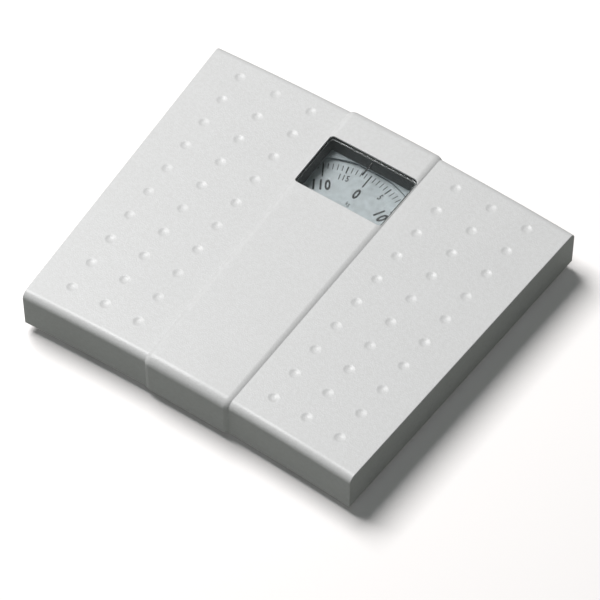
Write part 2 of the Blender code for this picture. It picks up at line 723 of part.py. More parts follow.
def dial_parts():
    centre = (0, DIAL_Y)
    origin = (0, DIAL_Y, DIAL_TOP)
    hole = SHAFT_RADIUS + PIN_CLEARANCE
    low = DIAL_TOP - DIAL_SHEET
    disc = [(hole, low), (DIAL_RADIUS, low), (DIAL_RADIUS, DIAL_TOP), (hole, DIAL_TOP)]
    smooth(place("dial_disc", turned(disc, centre, 64, True), DIAL_PLASTIC, origin))
    seat = low - CLEARANCE
    bottom = BRIDGE_TOP + CLEARANCE
    flange = seat - HUB_SHEET
    hub = [(hole, bottom), (HUB_NECK, bottom), (HUB_NECK, flange), (HUB_RADIUS, flange)]
    hub += [(HUB_RADIUS, seat), (hole, seat)]
    smooth(place("dial_hub", turned(hub, centre, 20, True), GREY_PLASTIC, origin))
    clip_low = DIAL_TOP + CLEARANCE
    clip_high = clip_low + CLIP_SHEET
    clip = [(hole, clip_low), (CLIP_RADIUS, clip_low), (CLIP_RADIUS, clip_high)]
    clip.append((hole, clip_high + CLIP_CROWN))
    smooth(place("dial_clip", turned(clip, centre, 20, True), SPRING_STEEL, origin))
    tip = clip_low + SHAFT_OVER_CLIP
    shaft = [(0, BENCH), (SHAFT_RADIUS / 2, BENCH), (SHAFT_RADIUS, BENCH + SHAFT_POINT)]
    shaft += [(SHAFT_RADIUS, tip - SHAFT_POINT / 2), (SHAFT_RADIUS * 0.7, tip), (0, tip)]
    made = place("pinion_shaft", turned(shaft, centre, 12), BRASS, origin)
    gear = prism(pinion_outline(), RACK_BASE - GEAR_OVER_RACK, RACK_TOP + GEAR_OVER_RACK)
    smooth(combine(made, [gear], "UNION"))


def pinion_outline():
    """The pinion's teeth, one of them pointing at the rack."""
    pitch = math.tau / PINION_TEETH
    half = pitch / 4 - TOOTH_BACKLASH / (2 * PINION_RADIUS)
    root = PINION_RADIUS - TOOTH_ROOT
    tip = PINION_RADIUS + TOOTH_HEIGHT
    outline = []
    for tooth in range(PINION_TEETH):
        middle = math.pi + tooth * pitch
        for share, radius in ((-1.5, root), (-0.45, tip), (0.45, tip), (1.5, root)):
            angle = middle + share * half
            outline.append((radius * math.cos(angle), DIAL_Y + radius * math.sin(angle)))
    return outline


def dial_bridge():
    """The hat-shaped strip over the pinion, with the dial's upper bearing in its top."""
    inner = BRIDGE_HALF - BRIDGE_SHEET
    half_section = [(inner, BRIDGE_TOP - BRIDGE_SHEET), (inner, BENCH), (BRIDGE_FOOT, BENCH)]
    half_section += [(BRIDGE_FOOT, BENCH + BRIDGE_SHEET), (BRIDGE_HALF, BENCH + BRIDGE_SHEET)]
    half_section.append((BRIDGE_HALF, BRIDGE_TOP))
    section = half_section + [(-x, z) for x, z in half_section[::-1]]
    low = DIAL_Y - BRIDGE_WIDTH / 2
    mesh = slab(section, low, low + BRIDGE_WIDTH, "Y")
    made = place("dial_bridge", mesh, ZINC_STEEL)
    rivets = [(side * (BRIDGE_HALF + BRIDGE_FOOT) / 2, DIAL_Y) for side in (-1, 1)]
    for name, centre in zip(("left", "right"), rivets):
        rivet(f"rivet_bridge_{name}", centre, BENCH + BRIDGE_SHEET)
    holes = [rivet_hole(centre) for centre in rivets]
    above_bridge = Matrix.Translation((0, DIAL_Y, BRIDGE_TOP))
    holes.append(moved(cross_bar(SHAFT_RADIUS + PIN_CLEARANCE), above_bridge))
    combine(made, holes)
    return rivets


# Rack, its guide and its spring


def rack_outline():
    """The rack seen from above: teeth beside the pinion, and a narrow tail behind the crank's arm."""
    pitch = math.tau * PINION_RADIUS / PINION_TEETH
    tip = -PINION_RADIUS + TOOTH_HEIGHT
    root = -PINION_RADIUS - TOOTH_ROOT
    half = pitch / 4 - TOOTH_BACKLASH / 2
    left = root - RACK_WIDTH
    front = DIAL_Y - RACK_FRONT
    tooth_count = round(RACK_TRAVEL / pitch) + RACK_SPARE_TEETH
    outline = [(left, front), (root, front)]
    for tooth in range(tooth_count):
        middle = DIAL_Y + (tooth - 1.5) * pitch
        outline += [(root, middle - 1.4 * half), (tip, middle - 0.5 * half)]
        outline += [(tip, middle + 0.5 * half), (root, middle + 1.4 * half)]
    tail_left, tail_right = rack_tail()
    jog = CRANK_Y - RACK_TAIL_BEFORE_CRANK
    shoulder = jog - RACK_SHOULDER
    outline += [(root, jog - (root - tail_right)), (tail_right, jog)]
    outline += [(tail_right, rack_back()), (tail_left, rack_back())]
    outline += [(tail_left, shoulder), (left, shoulder - (left - tail_left))]
    return outline


def rack_tail():
    """The left and right edges of the rack's tail, which lies under the crank's arm."""
    left = CRANK_X - RACK_TAIL_WIDTH / 2 + RACK_TAIL_SHIFT
    return left, left + RACK_TAIL_WIDTH


def rack_back():
    return CRANK_Y + RACK_TRAVEL / 2 + CRANK_TOE + CRANK_GAP + RACK_SHEET


def rack():
    """The rack with an upright lug behind the crank's arm and one in front for its spring."""
    made = place("rack", prism(rack_outline(), RACK_BASE, RACK_TOP), ZINC_STEEL)
    left, right = rack_tail()
    back = rack_back()
    lug_top = CRANK_HEIGHT - CRANK_DROP * math.cos(HALF_SWING) + CRANK_HALF_WIDTH
    lug = box((left, back - RACK_SHEET, RACK_BASE), (right, back, lug_top))
    front = DIAL_Y - RACK_FRONT
    middle = rack_middle()
    tab_low = (middle - RACK_TAB_HALF, front, RACK_BASE)
    tab_high = (middle + RACK_TAB_HALF, front + RACK_SHEET, RACK_TOP + RACK_TAB_RISE)
    combine(made, [lug, box(tab_low, tab_high)], "UNION")
    return combine(made, [moved(cross_bar(RACK_WIRE + PIN_CLEARANCE), rack_spring_frame(front))])


def rack_middle():
    return -PINION_RADIUS - TOOTH_ROOT - RACK_WIDTH / 2


def rack_spring_frame(y):
    """The rack spring's axes: its Z points to the front, and its tails lie on the rack's middle line."""
    turn = Matrix.Rotation(math.pi / 2, 4, "X")
    return Matrix.Translation((rack_middle(), y, FLOOR + RACK_SPRING_OVER_FLOOR)) @ turn


def rack_spring_parts():
    """The light spring that pulls the rack forward, and the post that holds its front end."""
    start = DIAL_Y - RACK_FRONT - RACK_SPRING_END
    matrix = Matrix.Translation((-RACK_COIL, 0, 0)) @ rack_spring_frame(start)
    middle = rack_middle()
    origin = (middle, start, FLOOR + RACK_SPRING_OVER_FLOOR)
    tail = RACK_SPRING_END + RACK_SHEET + RACK_SPRING_TIP
    size = (RACK_COIL, RACK_WIRE, RACK_SPRING_LENGTH, RACK_SPRING_TURNS)
    coil("rack_spring", *size, (tail, tail), matrix, origin)
    back = start - RACK_SPRING_LENGTH - RACK_SPRING_END
    front = back - RACK_SHEET
    foot_front = front - ANGLE_FOOT
    top = FLOOR + SPRING_POST_OVER_FLOOR
    section = [(foot_front, BENCH), (back, BENCH), (back, top), (front, top)]
    section += [(front, BENCH + RACK_SHEET), (foot_front, BENCH + RACK_SHEET)]
    mesh = slab(section, middle - ANGLE_HALF, middle + ANGLE_HALF, "X")
    made = place("rack_spring_post", mesh, ZINC_STEEL)
    centre = (middle, (foot_front + front) / 2)
    rivet("rivet_spring_post", centre, BENCH + RACK_SHEET)
    hole = moved(cross_bar(RACK_WIRE + PIN_CLEARANCE), rack_spring_frame(front))
    combine(made, [hole, rivet_hole(centre)])
    return centre


def rack_guide():
    """The small angle bracket whose window keeps the rack level and in mesh."""
    front = DIAL_Y + GUIDE_BEHIND_DIAL_CENTRE
    back = front + RACK_SHEET
    foot_back = back + ANGLE_FOOT
    top = FLOOR + GUIDE_OVER_FLOOR
    section = [(front, BENCH), (foot_back, BENCH), (foot_back, BENCH + RACK_SHEET)]
    section += [(back, BENCH + RACK_SHEET), (back, top), (front, top)]
    left = rack_middle() - RACK_WIDTH / 2
    right = left + RACK_WIDTH
    mesh = slab(section, left - ANGLE_HALF, right + ANGLE_HALF, "X")
    made = place("rack_guide", mesh, ZINC_STEEL)
    low = (left - PIN_CLEARANCE, front - RACK_SHEET, RACK_BASE - PIN_CLEARANCE)
    high = (right + PIN_CLEARANCE, back + RACK_SHEET, RACK_TOP + PIN_CLEARANCE)
    centre = (rack_middle(), back + GUIDE_RIVET)
    rivet("rivet_guide", centre, BENCH + RACK_SHEET)
    combine(made, [box(low, high), rivet_hole(centre)])
    return centre


# Crank, nose plate, main spring and zero setting


def crank():
    """The bell crank: one arm rests on the nose plate's lug, the other holds the rack back."""
    w = CRANK_HALF_WIDTH
    outline = arc((0, 0), CRANK_BOSS, 20, 250, 10)
    neck = 90 + math.degrees(math.asin(w / CRANK_TOE))
    outline += arc((0, -CRANK_DROP), CRANK_TOE, neck, 540 - neck, 12)
    outline += [(w, -CRANK_REACH / 2), (CRANK_REACH / 2, -w)]
    outline += arc((CRANK_REACH, 0), w, -90, 90, 6)
    half = CRANK_SHEET / 2
    origin = (CRANK_X, CRANK_Y, CRANK_HEIGHT)
    turn = Matrix.Translation(origin) @ Matrix.Rotation(HALF_SWING, 4, "X")
    made = place("crank", moved(slab(outline, -half, half, "X"), turn), ZINC_STEEL, origin)
    along_x = Matrix.Rotation(math.pi / 2, 4, "Y")
    tip = moved(round_bar((0, 0), CRANK_TIP_RADIUS, -CRANK_TIP_LENGTH, 0.0), along_x)
    tip = moved(tip, turn @ Matrix.Translation((0, CRANK_REACH, 0)))
    combine(made, [tip], "UNION")
    combine(made, [moved(cross_bar(CRANK_PIN_RADIUS + PIN_CLEARANCE), turn @ along_x)])
    left = -BRACKET_HALF - CRANK_PIN_LEFT
    right = CRANK_X + half + CRANK_PIN_RIGHT
    shape = [(0, left), (CRANK_PIN_RADIUS, left), (CRANK_PIN_RADIUS, right), (0, right)]
    pin = moved(turned(shape, (0, 0), 12), Matrix.Translation((0, CRANK_Y, CRANK_HEIGHT)) @ along_x)
    return smooth(place("crank_pin", pin, SPRING_STEEL))


def spring_bracket():
    """The riveted bracket whose left upright carries the crank and whose right one guides the carrier."""
    inner = BRACKET_HALF - BRACKET_SHEET
    step = BENCH + BRACKET_SHEET
    top = FLOOR + BRACKET_OVER_FLOOR
    section = [(-BRACKET_HALF, BENCH), (BRACKET_HALF, BENCH), (BRACKET_HALF, top), (inner, top)]
    section += [(inner, step), (-inner, step), (-inner, top), (-BRACKET_HALF, top)]
    front = SPRING_Y - BRACKET_FRONT
    made = place("spring_bracket", slab(section, front, SPRING_Y + BRACKET_BACK, "Y"), ZINC_STEEL)
    rivets = [(side * EAR_RIVET_X, front + EAR_HALF) for side in (-1, 1)]
    past = BRACKET_HALF + CUT_PAST
    trim = box((-past, front - CUT_PAST, step), (past, CRANK_Y - EAR_HALF, top + CUT_PAST))
    half = CARRIER_TONGUE / 2 + CLEARANCE
    slot_low = (inner - CUT_PAST, SPRING_Y - half, CARRIER_BASE - TONGUE_SLOT_DROP)
    slot = box(slot_low, (past, SPRING_Y + half, top + CUT_PAST))
    along_x = Matrix.Translation((-BRACKET_HALF, CRANK_Y, CRANK_HEIGHT))
    along_x = along_x @ Matrix.Rotation(math.pi / 2, 4, "Y")
    pin_hole = moved(cross_bar(CRANK_PIN_RADIUS + PIN_CLEARANCE), along_x)
    collar_hole = round_bar((0, SPRING_Y), COLLAR_RADIUS + PIN_CLEARANCE, 0, BENCH + CUT_PAST)
    combine(made, [trim])
    combine(made, [slot, pin_hole, collar_hole, *map(rivet_hole, rivets)])
    for name, centre in zip(("left", "right"), rivets):
        rivet(f"rivet_bracket_{name}", centre, step)
    return rivets


def nose_plate():
    """The plate under the lever noses, with slots round the bracket's uprights and the rack's tail."""
    front = SPRING_Y - NOSE_PLATE_FRONT
    back = SPRING_Y + NOSE_PLATE_BACK
    bracket_end = SPRING_Y + BRACKET_BACK + CLEARANCE
    rack_end = rack_back() + RACK_SLOT_GAP
    tail_left, tail_right = rack_tail()
    gap = NOSE_PLATE_SLOT_GAP
    upright = (BRACKET_HALF - BRACKET_SHEET - gap, BRACKET_HALF + gap)
    slots = [(-upright[1], -upright[0], bracket_end)]
    slots.append((tail_left - 2 * gap, tail_right + gap, rack_end))
    slots.append((*upright, bracket_end))
    outline = [(-NOSE_PLATE_HALF, back), (-NOSE_PLATE_HALF, front)]
    for left, right, end in slots:
        outline += [(left, front), (left, end), (right, end), (right, front)]
    outline += [(NOSE_PLATE_HALF, front), (NOSE_PLATE_HALF, back)]
    made = place("nose_plate", prism(outline, NOSE_PLATE_BASE, NOSE_PLATE_TOP), ZINC_STEEL)
    reach_y = CRANK_Y + CRANK_REACH * math.cos(HALF_SWING)
    tip_height = CRANK_HEIGHT + CRANK_REACH * math.sin(HALF_SWING)
    lug_top = tip_height - CRANK_TIP_RADIUS - CLEARANCE
    lug_right = slots[1][0] - RACK_SLOT_GAP
    lug_left = lug_right - NOSE_PLATE_SHEET
    lug_low = (lug_left, reach_y - LUG_FRONT, NOSE_PLATE_BASE + NOSE_PLATE_SHEET / 3)
    combine(made, [box(lug_low, (lug_right, reach_y + LUG_BACK, lug_top))], "UNION")
    return combine(made, spring_holes(NOSE_PLATE_HOLE, NOSE_PLATE_BASE))


def spring_holes(middle_radius, height):
    """Cutters for the hole on the spring's axis and for the hole that takes the spring's tail."""
    holes = []
    for x, radius in ((0, middle_radius), (SPRING_RADIUS, SPRING_WIRE + PIN_CLEARANCE)):
        holes.append(moved(cross_bar(radius), Matrix.Translation((x, SPRING_Y, height))))
    return holes


def spring_carrier():
    """The plate that hangs the main spring; the zero screw lifts it and a tongue stops it turning."""
    inner = BRACKET_HALF - BRACKET_SHEET - CARRIER_GAP
    half = CARRIER_TONGUE / 2
    front = SPRING_Y - CARRIER_HALF
    back = SPRING_Y + CARRIER_HALF
    out = BRACKET_HALF + TONGUE_OUT
    outline = [(-CARRIER_LEFT, front), (inner, front), (inner, SPRING_Y - half)]
    outline += [(out, SPRING_Y - half), (out, SPRING_Y + half)]
    outline += [(inner, SPRING_Y + half), (inner, back), (-CARRIER_LEFT, back)]
    mesh = prism(outline, CARRIER_BASE, CARRIER_BASE + CARRIER_SHEET)
    made = place("spring_carrier", mesh, ZINC_STEEL)
    return combine(made, spring_holes(SCREW_RADIUS + PIN_CLEARANCE, CARRIER_BASE))


def main_spring():
    low = NOSE_PLATE_TOP + CLEARANCE + SPRING_WIRE
    length = CARRIER_BASE - CLEARANCE - SPRING_WIRE - low
    at = Vector((0, SPRING_Y, low))
    tails = (low - NOSE_PLATE_BASE, SPRING_WIRE + CLEARANCE + CARRIER_SHEET + SPRING_TIP)
    size = (SPRING_RADIUS, SPRING_WIRE, length, SPRING_TURNS)
    return coil("main_spring", *size, tails, Matrix.Translation(at), at, sides=12)


def zero_parts():
    """The screw with its collar on the tray's floor, and the wheel that a finger turns from below."""
    centre = (0, SPRING_Y)
    wheel_top = FOOT_HEIGHT - CLEARANCE
    wheel_low = wheel_top - WHEEL_THICKNESS
    collar_top = BENCH + BRACKET_SHEET
    screw_top = FLOOR + SCREW_OVER_FLOOR
    shoulder = screw_top - SCREW_CHAMFER
    profile = [(0, wheel_low), (SCREW_RADIUS, wheel_low), (SCREW_RADIUS, BENCH)]
    profile += [(COLLAR_RADIUS, BENCH), (COLLAR_RADIUS, collar_top), (SCREW_RADIUS, collar_top)]
    profile += [(SCREW_RADIUS, shoulder), (SCREW_RADIUS - SCREW_CHAMFER, screw_top), (0, screw_top)]
    origin = (0, SPRING_Y, wheel_top)
    smooth(place("zero_screw", turned(profile, centre, 14), ZINC_STEEL, origin))
    outline = []
    for grip in range(WHEEL_GRIPS):
        for share, depth in ((0.0, WHEEL_GROOVE), (0.3, 0.0), (0.7, 0.0)):
            angle = math.tau * (grip + share) / WHEEL_GRIPS
            radius = WHEEL_RADIUS - depth
            outline.append((radius * math.cos(angle), SPRING_Y + radius * math.sin(angle)))
    wheel = place("zero_wheel", prism(outline, wheel_low, wheel_top), GREY_PLASTIC, origin)
    through = moved(cross_bar(SCREW_RADIUS + PIN_CLEARANCE), Matrix.Translation(origin))
    return combine(wheel, [through])


def build():
    for made in list(bpy.data.objects):
        bpy.data.objects.remove(made)
    platform_cover()
    window_frame()
    window_lens()
    index_line()
    rivets = []
    found = levers()
    for long_one, short_one in zip(found[::2], found[1::2]):
        long_lever(long_one)
        short_lever(short_one, long_one)
    rivets += [lever_supports(lever) for lever in found]
    rivets += dial_bridge()
    rivets += spring_bracket()
    rivets.append(rack_guide())
    rivets.append(rack_spring_parts())
    feet = {}
    for side, angle in (("left", -FOOT_ANGLE), ("right", FOOT_ANGLE)):
        feet[f"foot_front_{side}"] = fan(angle, -FOOT_REACH)
        feet[f"foot_back_{side}"] = fan(angle, FOOT_REACH)
    for name, centre in feet.items():
        foot(name, centre)
    for name, side, tail in zip(("left", "right"), (-1, 1), hold_tails()):
        hold_down(name, side, tail)
    base_tray(rivets, list(feet.values()))
    dial_parts()
    rack()
    crank()
    nose_plate()
    spring_carrier()
    main_spring()
    zero_parts()


build()
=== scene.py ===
# %% [markdown]
# # A mechanical bathroom scale
# The frame of the scale is already built and moves: a platform on four levers, a dial turned by a
# rack and a pinion, and a tray with rubber feet. This lesson gives it the shapes and finishes that
# an eye sees. Each step says what a piece is, how it could be made, and why this way was chosen.

import json
import math

import bmesh
import bpy
from mathutils import Matrix, Vector

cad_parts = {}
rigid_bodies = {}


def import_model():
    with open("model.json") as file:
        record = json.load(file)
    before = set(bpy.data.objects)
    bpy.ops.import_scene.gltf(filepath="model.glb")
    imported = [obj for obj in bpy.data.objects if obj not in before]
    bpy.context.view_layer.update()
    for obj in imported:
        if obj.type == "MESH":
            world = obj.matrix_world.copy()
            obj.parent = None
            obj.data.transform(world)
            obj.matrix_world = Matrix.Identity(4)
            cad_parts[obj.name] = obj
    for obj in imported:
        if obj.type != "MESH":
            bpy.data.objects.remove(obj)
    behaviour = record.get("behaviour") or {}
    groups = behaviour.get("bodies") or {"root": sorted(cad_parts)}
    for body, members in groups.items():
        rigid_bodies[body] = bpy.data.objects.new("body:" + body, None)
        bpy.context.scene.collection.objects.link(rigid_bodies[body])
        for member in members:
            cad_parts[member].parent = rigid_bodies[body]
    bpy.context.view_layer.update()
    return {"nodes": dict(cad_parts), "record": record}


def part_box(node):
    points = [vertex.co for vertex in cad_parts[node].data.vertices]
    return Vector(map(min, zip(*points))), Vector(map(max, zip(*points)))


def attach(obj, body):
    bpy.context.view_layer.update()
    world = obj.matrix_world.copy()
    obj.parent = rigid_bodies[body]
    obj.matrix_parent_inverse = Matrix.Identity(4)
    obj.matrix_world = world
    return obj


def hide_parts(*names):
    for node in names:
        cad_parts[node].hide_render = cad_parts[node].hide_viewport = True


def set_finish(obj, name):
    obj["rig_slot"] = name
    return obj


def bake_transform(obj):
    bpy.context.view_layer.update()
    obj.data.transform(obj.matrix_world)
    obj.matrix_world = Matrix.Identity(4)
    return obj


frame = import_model()

# %% [markdown]
# ## The fan
# The platform is not a rectangle. Its sides lean in towards the front, and its front and back edges
# are gentle arcs, like a slice of a very wide ring. Modelling on a curve is hard, so every piece of
# the platform is modelled flat, with its width across and its reach along, and is wrapped onto the
# ring at the end by one short function.

# %% Sizes of the fan
FAN_RADIUS = 2.237
HALF_WIDTH = FAN_RADIUS * math.radians(3.41)
FRONT_EDGE = 0.1226
BACK_EDGE = 0.1181
STRIP_RAISE = 0.0015
STRIP_HALF = FAN_RADIUS * math.radians(0.757)
STRIP_RAMP = 0.0044
SHEET = 0.0012
WINDOW_HALF = 0.0331
DIMPLE_INNER = FAN_RADIUS * math.radians(1.395)
DIMPLE_STEP = FAN_RADIUS * math.radians(0.682)
DIMPLE_COLUMNS = 3

cover_low, cover_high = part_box("platform_cover")
TREAD = cover_high.z - STRIP_RAISE
MIDDLE_Y = cover_high.y - BACK_EDGE - STRIP_RAISE
print("tread height", round(TREAD, 4), "middle of the tread", round(MIDDLE_Y, 4))


def fan(across, reach):
    """Where a point of the flat model lies on the ring."""
    radius = FAN_RADIUS + reach
    angle = across / FAN_RADIUS
    return radius * math.sin(angle), MIDDLE_Y + radius * math.cos(angle) - FAN_RADIUS


def wrap_on_fan(made):
    """Bends a flat piece, so that straight lines along it point at the ring's centre."""
    for vertex in made.data.vertices:
        vertex.co = (*fan(vertex.co.x, vertex.co.y), vertex.co.z)


# %% [markdown]
# ## A few hand tools
# Edit mode works on what is selected, so each step first picks faces or edges in code, by where they
# lie and which way they face. These small tools keep the steps short.

# %% Tools for selecting and shaping
NEAR = 0.00002


def named(name):
    """Names the primitive that was just added, with its size and place put into its mesh."""
    made = bpy.context.object
    made.name = made.data.name = name
    bpy.ops.object.transform_apply(location=True, rotation=True, scale=True)
    return made


def only(made):
    bpy.ops.object.select_all(action="DESELECT")
    made.select_set(True)
    bpy.context.view_layer.objects.active = made


def edit(made):
    only(made)
    bpy.ops.object.mode_set(mode="EDIT")


def done():
    bpy.ops.object.mode_set(mode="OBJECT")


def pick(made, kind, test):
    """Selects the faces or edges that pass a test, and says how many there are."""
    bpy.ops.mesh.select_mode(type=kind)
    bpy.ops.mesh.select_all(action="DESELECT")
    mesh = bmesh.from_edit_mesh(made.data)
    mesh.normal_update()
    elements = {"FACE": mesh.faces, "EDGE": mesh.edges}[kind]
    found = [element for element in elements if test(element)]
    for element in found:
        element.select_set(True)
    mesh.select_flush_mode()
    bmesh.update_edit_mesh(made.data)
    return len(found)


def all_of(element, test):
    """True when every corner of a face, or both ends of an edge, pass a test."""
    return all(test(vertex.co) for vertex in element.verts)


def middle(edge):
    return (edge.verts[0].co + edge.verts[1].co) / 2


def level(edge):
    return abs(edge.verts[0].co.z - edge.verts[1].co.z) < NEAR


def folded(edge, least=1.2):
    """True where two faces meet at more than this angle, in radians."""
    return len(edge.link_faces) == 2 and edge.calc_face_angle() > least


def cut_lines(places):
    """Adds straight lines of edges from front to back, at these places across the mesh."""
    for x in places:
        bpy.ops.mesh.select_all(action="SELECT")
        bpy.ops.mesh.bisect(plane_co=(x, 0, 0), plane_no=(1, 0, 0))


def inset(thickness, depth=0.0):
    bpy.ops.mesh.inset(thickness=thickness, depth=depth)


def extrude(shift):
    bpy.ops.mesh.extrude_region_move(TRANSFORM_OT_translate={"value": shift})


def apply_modifier(made, kind, **settings):
    only(made)
    step = made.modifiers.new(kind.title(), kind)
    for name, value in settings.items():
        setattr(step, name, value)
    bpy.ops.object.modifier_apply(modifier=step.name)


def cut_away(made, cutter):
    apply_modifier(made, "BOOLEAN", operation="DIFFERENCE", solver="EXACT", object=cutter)
    bpy.data.objects.remove(cutter)


def smooth(made, degrees=35):
    """Rounds the shading over soft edges only, and keeps large flat faces looking flat."""
    only(made)
    bpy.ops.object.shade_smooth_by_angle(angle=math.radians(degrees))
    apply_modifier(made, "WEIGHTED_NORMAL", keep_sharp=True)


def join(name, pieces):
    bpy.ops.object.select_all(action="DESELECT")
    for piece in pieces:
        piece.select_set(True)
    bpy.context.view_layer.objects.active = pieces[0]
    bpy.ops.object.join()
    pieces[0].name = pieces[0].data.name = name
    return pieces[0]


def copy_of(made, name, matrix):
    """A copy with a mesh of its own, moved by this matrix in its mesh."""
    other = bpy.data.objects.new(name, made.data.copy())
    other.data.transform(matrix)
    bpy.context.scene.collection.objects.link(other)
    return other


def box(name, low, high):
    """A cube primitive between two corners."""
    low, high = Vector(low), Vector(high)
    bpy.ops.mesh.primitive_cube_add(size=1, location=(low + high) / 2, scale=high - low)
    return named(name)


def settle(piece, body, slot, *nodes):
    """A finished piece rides on its body and stands for the CAD nodes it replaces."""
    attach(piece, body)
    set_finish(piece, slot)
    if nodes:
        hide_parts(*nodes)
    print(piece.name, len(piece.data.polygons), "faces")


bpy.ops.object.select_all(action="DESELECT")

# %% [markdown]
# ## The platform's shell
# The real platform is one sheet of steel, pressed in a die: a flat tread, a skirt all round, a
# raised strip down the middle. A cube has the right five faces, so it is the start. Its lower face
# is deleted, its front and back top edges are bevelled wide, and its side edges only a little,
# because the press leaves them crisp.

# %% Press the shell
EDGE_ROUND = 0.0055
CHEEK_ROUND = 0.0006


def end_edge(edge):
    return all_of(edge, lambda co: co.z > TREAD - NEAR) and abs(middle(edge).x) < NEAR


def cheek_edge(edge):
    sides = [abs(face.normal.x) > 0.9 for face in edge.link_faces]
    return len(sides) == 2 and sides[0] != sides[1]


cover = box("platform_shell", (-HALF_WIDTH, -FRONT_EDGE, cover_low.z), (HALF_WIDTH, BACK_EDGE, TREAD))
edit(cover)
pick(cover, "FACE", lambda face: face.normal.z < -0.9)
bpy.ops.mesh.delete(type="FACE")
print("front and back edges", pick(cover, "EDGE", end_edge))
bpy.ops.mesh.bevel(offset=EDGE_ROUND, segments=8)
print("cheek edges", pick(cover, "EDGE", cheek_edge))
bpy.ops.mesh.bevel(offset=CHEEK_ROUND, segments=3)
done()

# %% [markdown]
# ## The raised strip
# The strip that carries the window stands 1.5 mm over the treads, and it also stands proud of the
# front and back. Lines are cut along its edges, and the faces between them are fattened along their
# normals, which raises the top and pushes out the front and back in one move. Its shoulders are one
# wide round that is level at the top and steepest at the foot, so the upper line is bevelled right
# down to the foot, and the foot itself stays a crisp crease. More lines are cut where the piece has to
# bend when it is wrapped, and between the columns of dimples.

# %% Raise the strip
CREASE_ROUND = 0.00025
strip_foot = STRIP_HALF + STRIP_RAMP
foot_slope = 2 * math.atan(STRIP_RAISE / STRIP_RAMP)
strip_shoulder = strip_foot - STRIP_RAISE / math.tan(foot_slope)
strip_lines = [side * at for side in (-1, 1) for at in (strip_shoulder, strip_foot)]
window_lines = [WINDOW_HALF * quarter / 4 for quarter in range(-3, 4)]
tread_gaps = [DIMPLE_INNER + (gap - 0.5) * DIMPLE_STEP for gap in range(DIMPLE_COLUMNS + 1)]
tread_lines = [side * at for side in (-1, 1) for at in tread_gaps]


def runs_at(place):
    """A test for edges that run from front to back this far from the middle, on either side."""
    return lambda edge: all_of(edge, lambda co: abs(abs(co.x) - place) < NEAR)


edit(cover)
cut_lines(strip_lines + window_lines + tread_lines)
pick(cover, "FACE", lambda face: abs(face.calc_center_median().x) < strip_shoulder)
bpy.ops.transform.shrink_fatten(value=STRIP_RAISE, use_even_offset=True)
print("crease edges", pick(cover, "EDGE", runs_at(strip_foot)))
bpy.ops.mesh.bevel(offset=CREASE_ROUND, segments=2)
print("shoulder edges", pick(cover, "EDGE", runs_at(strip_shoulder)))
slope_length = STRIP_RAISE / math.sin(foot_slope)
bpy.ops.mesh.bevel(offset=slope_length - 2 * CREASE_ROUND, segments=8)
done()
print("strip top", round(max(v.co.z for v in cover.data.vertices), 5))
apply_modifier(cover, "SOLIDIFY", thickness=SHEET, offset=-1.0)

# %% [markdown]
# ## The window opening
# The window is pierced through the strip, right out to the feet of its ramps. A cube with rounded
# upright edges is the punch, and a Boolean cuts with it. The rim of the hole gets a small bevel,
# because the enamel runs thick over a cut edge and rounds it.

# %% Pierce the window
WINDOW_FRONT = 0.0466
WINDOW_BACK = 0.0916
WINDOW_CORNER = 0.0030
RIM_ROUND = 0.0005
CUT_PAST = 0.01


def window_block(name, grow, low, high):
    """A block with the window's rounded outline, made larger all round by this much."""
    front_left = (-WINDOW_HALF - grow, WINDOW_FRONT - grow, low)
    back_right = (WINDOW_HALF + grow, WINDOW_BACK + grow, high)
    made = box(name, front_left, back_right)
    edit(made)
    pick(made, "EDGE", lambda edge: not level(edge))
    bpy.ops.mesh.bevel(offset=WINDOW_CORNER + grow, segments=8)
    done()
    return made


def window_rim(edge):
    at = middle(edge)
    inside = abs(at.x) < WINDOW_HALF + NEAR and WINDOW_FRONT - NEAR < at.y < WINDOW_BACK + NEAR
    ups = sorted(face.normal.z for face in edge.link_faces)
    return inside and len(ups) == 2 and abs(ups[0]) < 0.1 and ups[1] > 0.8


cut_away(cover, window_block("window_punch", 0.0, TREAD - CUT_PAST, TREAD + CUT_PAST))
edit(cover)
print("window rim edges", pick(cover, "EDGE", window_rim))
bpy.ops.mesh.bevel(offset=RIM_ROUND, segments=3)
done()
wrap_on_fan(cover)

# %% [markdown]
# ## The dimples
# Sixty shallow dimples in the treads stop a wet foot from slipping. Each is a bowl 7 mm across. One
# punch is modelled from a cylinder whose lower face is inset ring by ring, each ring lower than the
# last, along a sphere. It is copied to every place, and one Boolean presses them all. The rims are
# then bevelled, which gives each dimple the soft lip of pressed and enamelled steel.

# %% Press the dimples
DIMPLE_RADIUS = 0.0035
DIMPLE_DEPTH = 0.0007
DIMPLE_RINGS = 5
DIMPLE_PITCH = 0.0225
DIMPLE_ROWS = 10
DIMPLE_LIP = 0.0006
DIMPLE_SIDES = 32
PUNCH_HEIGHT = 0.001
LONGEST_CHORD = 0.001

bpy.ops.mesh.primitive_cylinder_add(
    vertices=DIMPLE_SIDES, radius=DIMPLE_RADIUS, depth=PUNCH_HEIGHT,
    location=(0, 0, TREAD + PUNCH_HEIGHT / 2))
punch = named("dimple_punch")
edit(punch)
pick(punch, "FACE", lambda face: face.normal.z < -0.9)
ring_depths = [DIMPLE_DEPTH * (1 - (1 - ring / DIMPLE_RINGS) ** 2) for ring in range(DIMPLE_RINGS)]
for before, after in zip(ring_depths, ring_depths[1:]):
    inset(DIMPLE_RADIUS / DIMPLE_RINGS, after - before)
done()

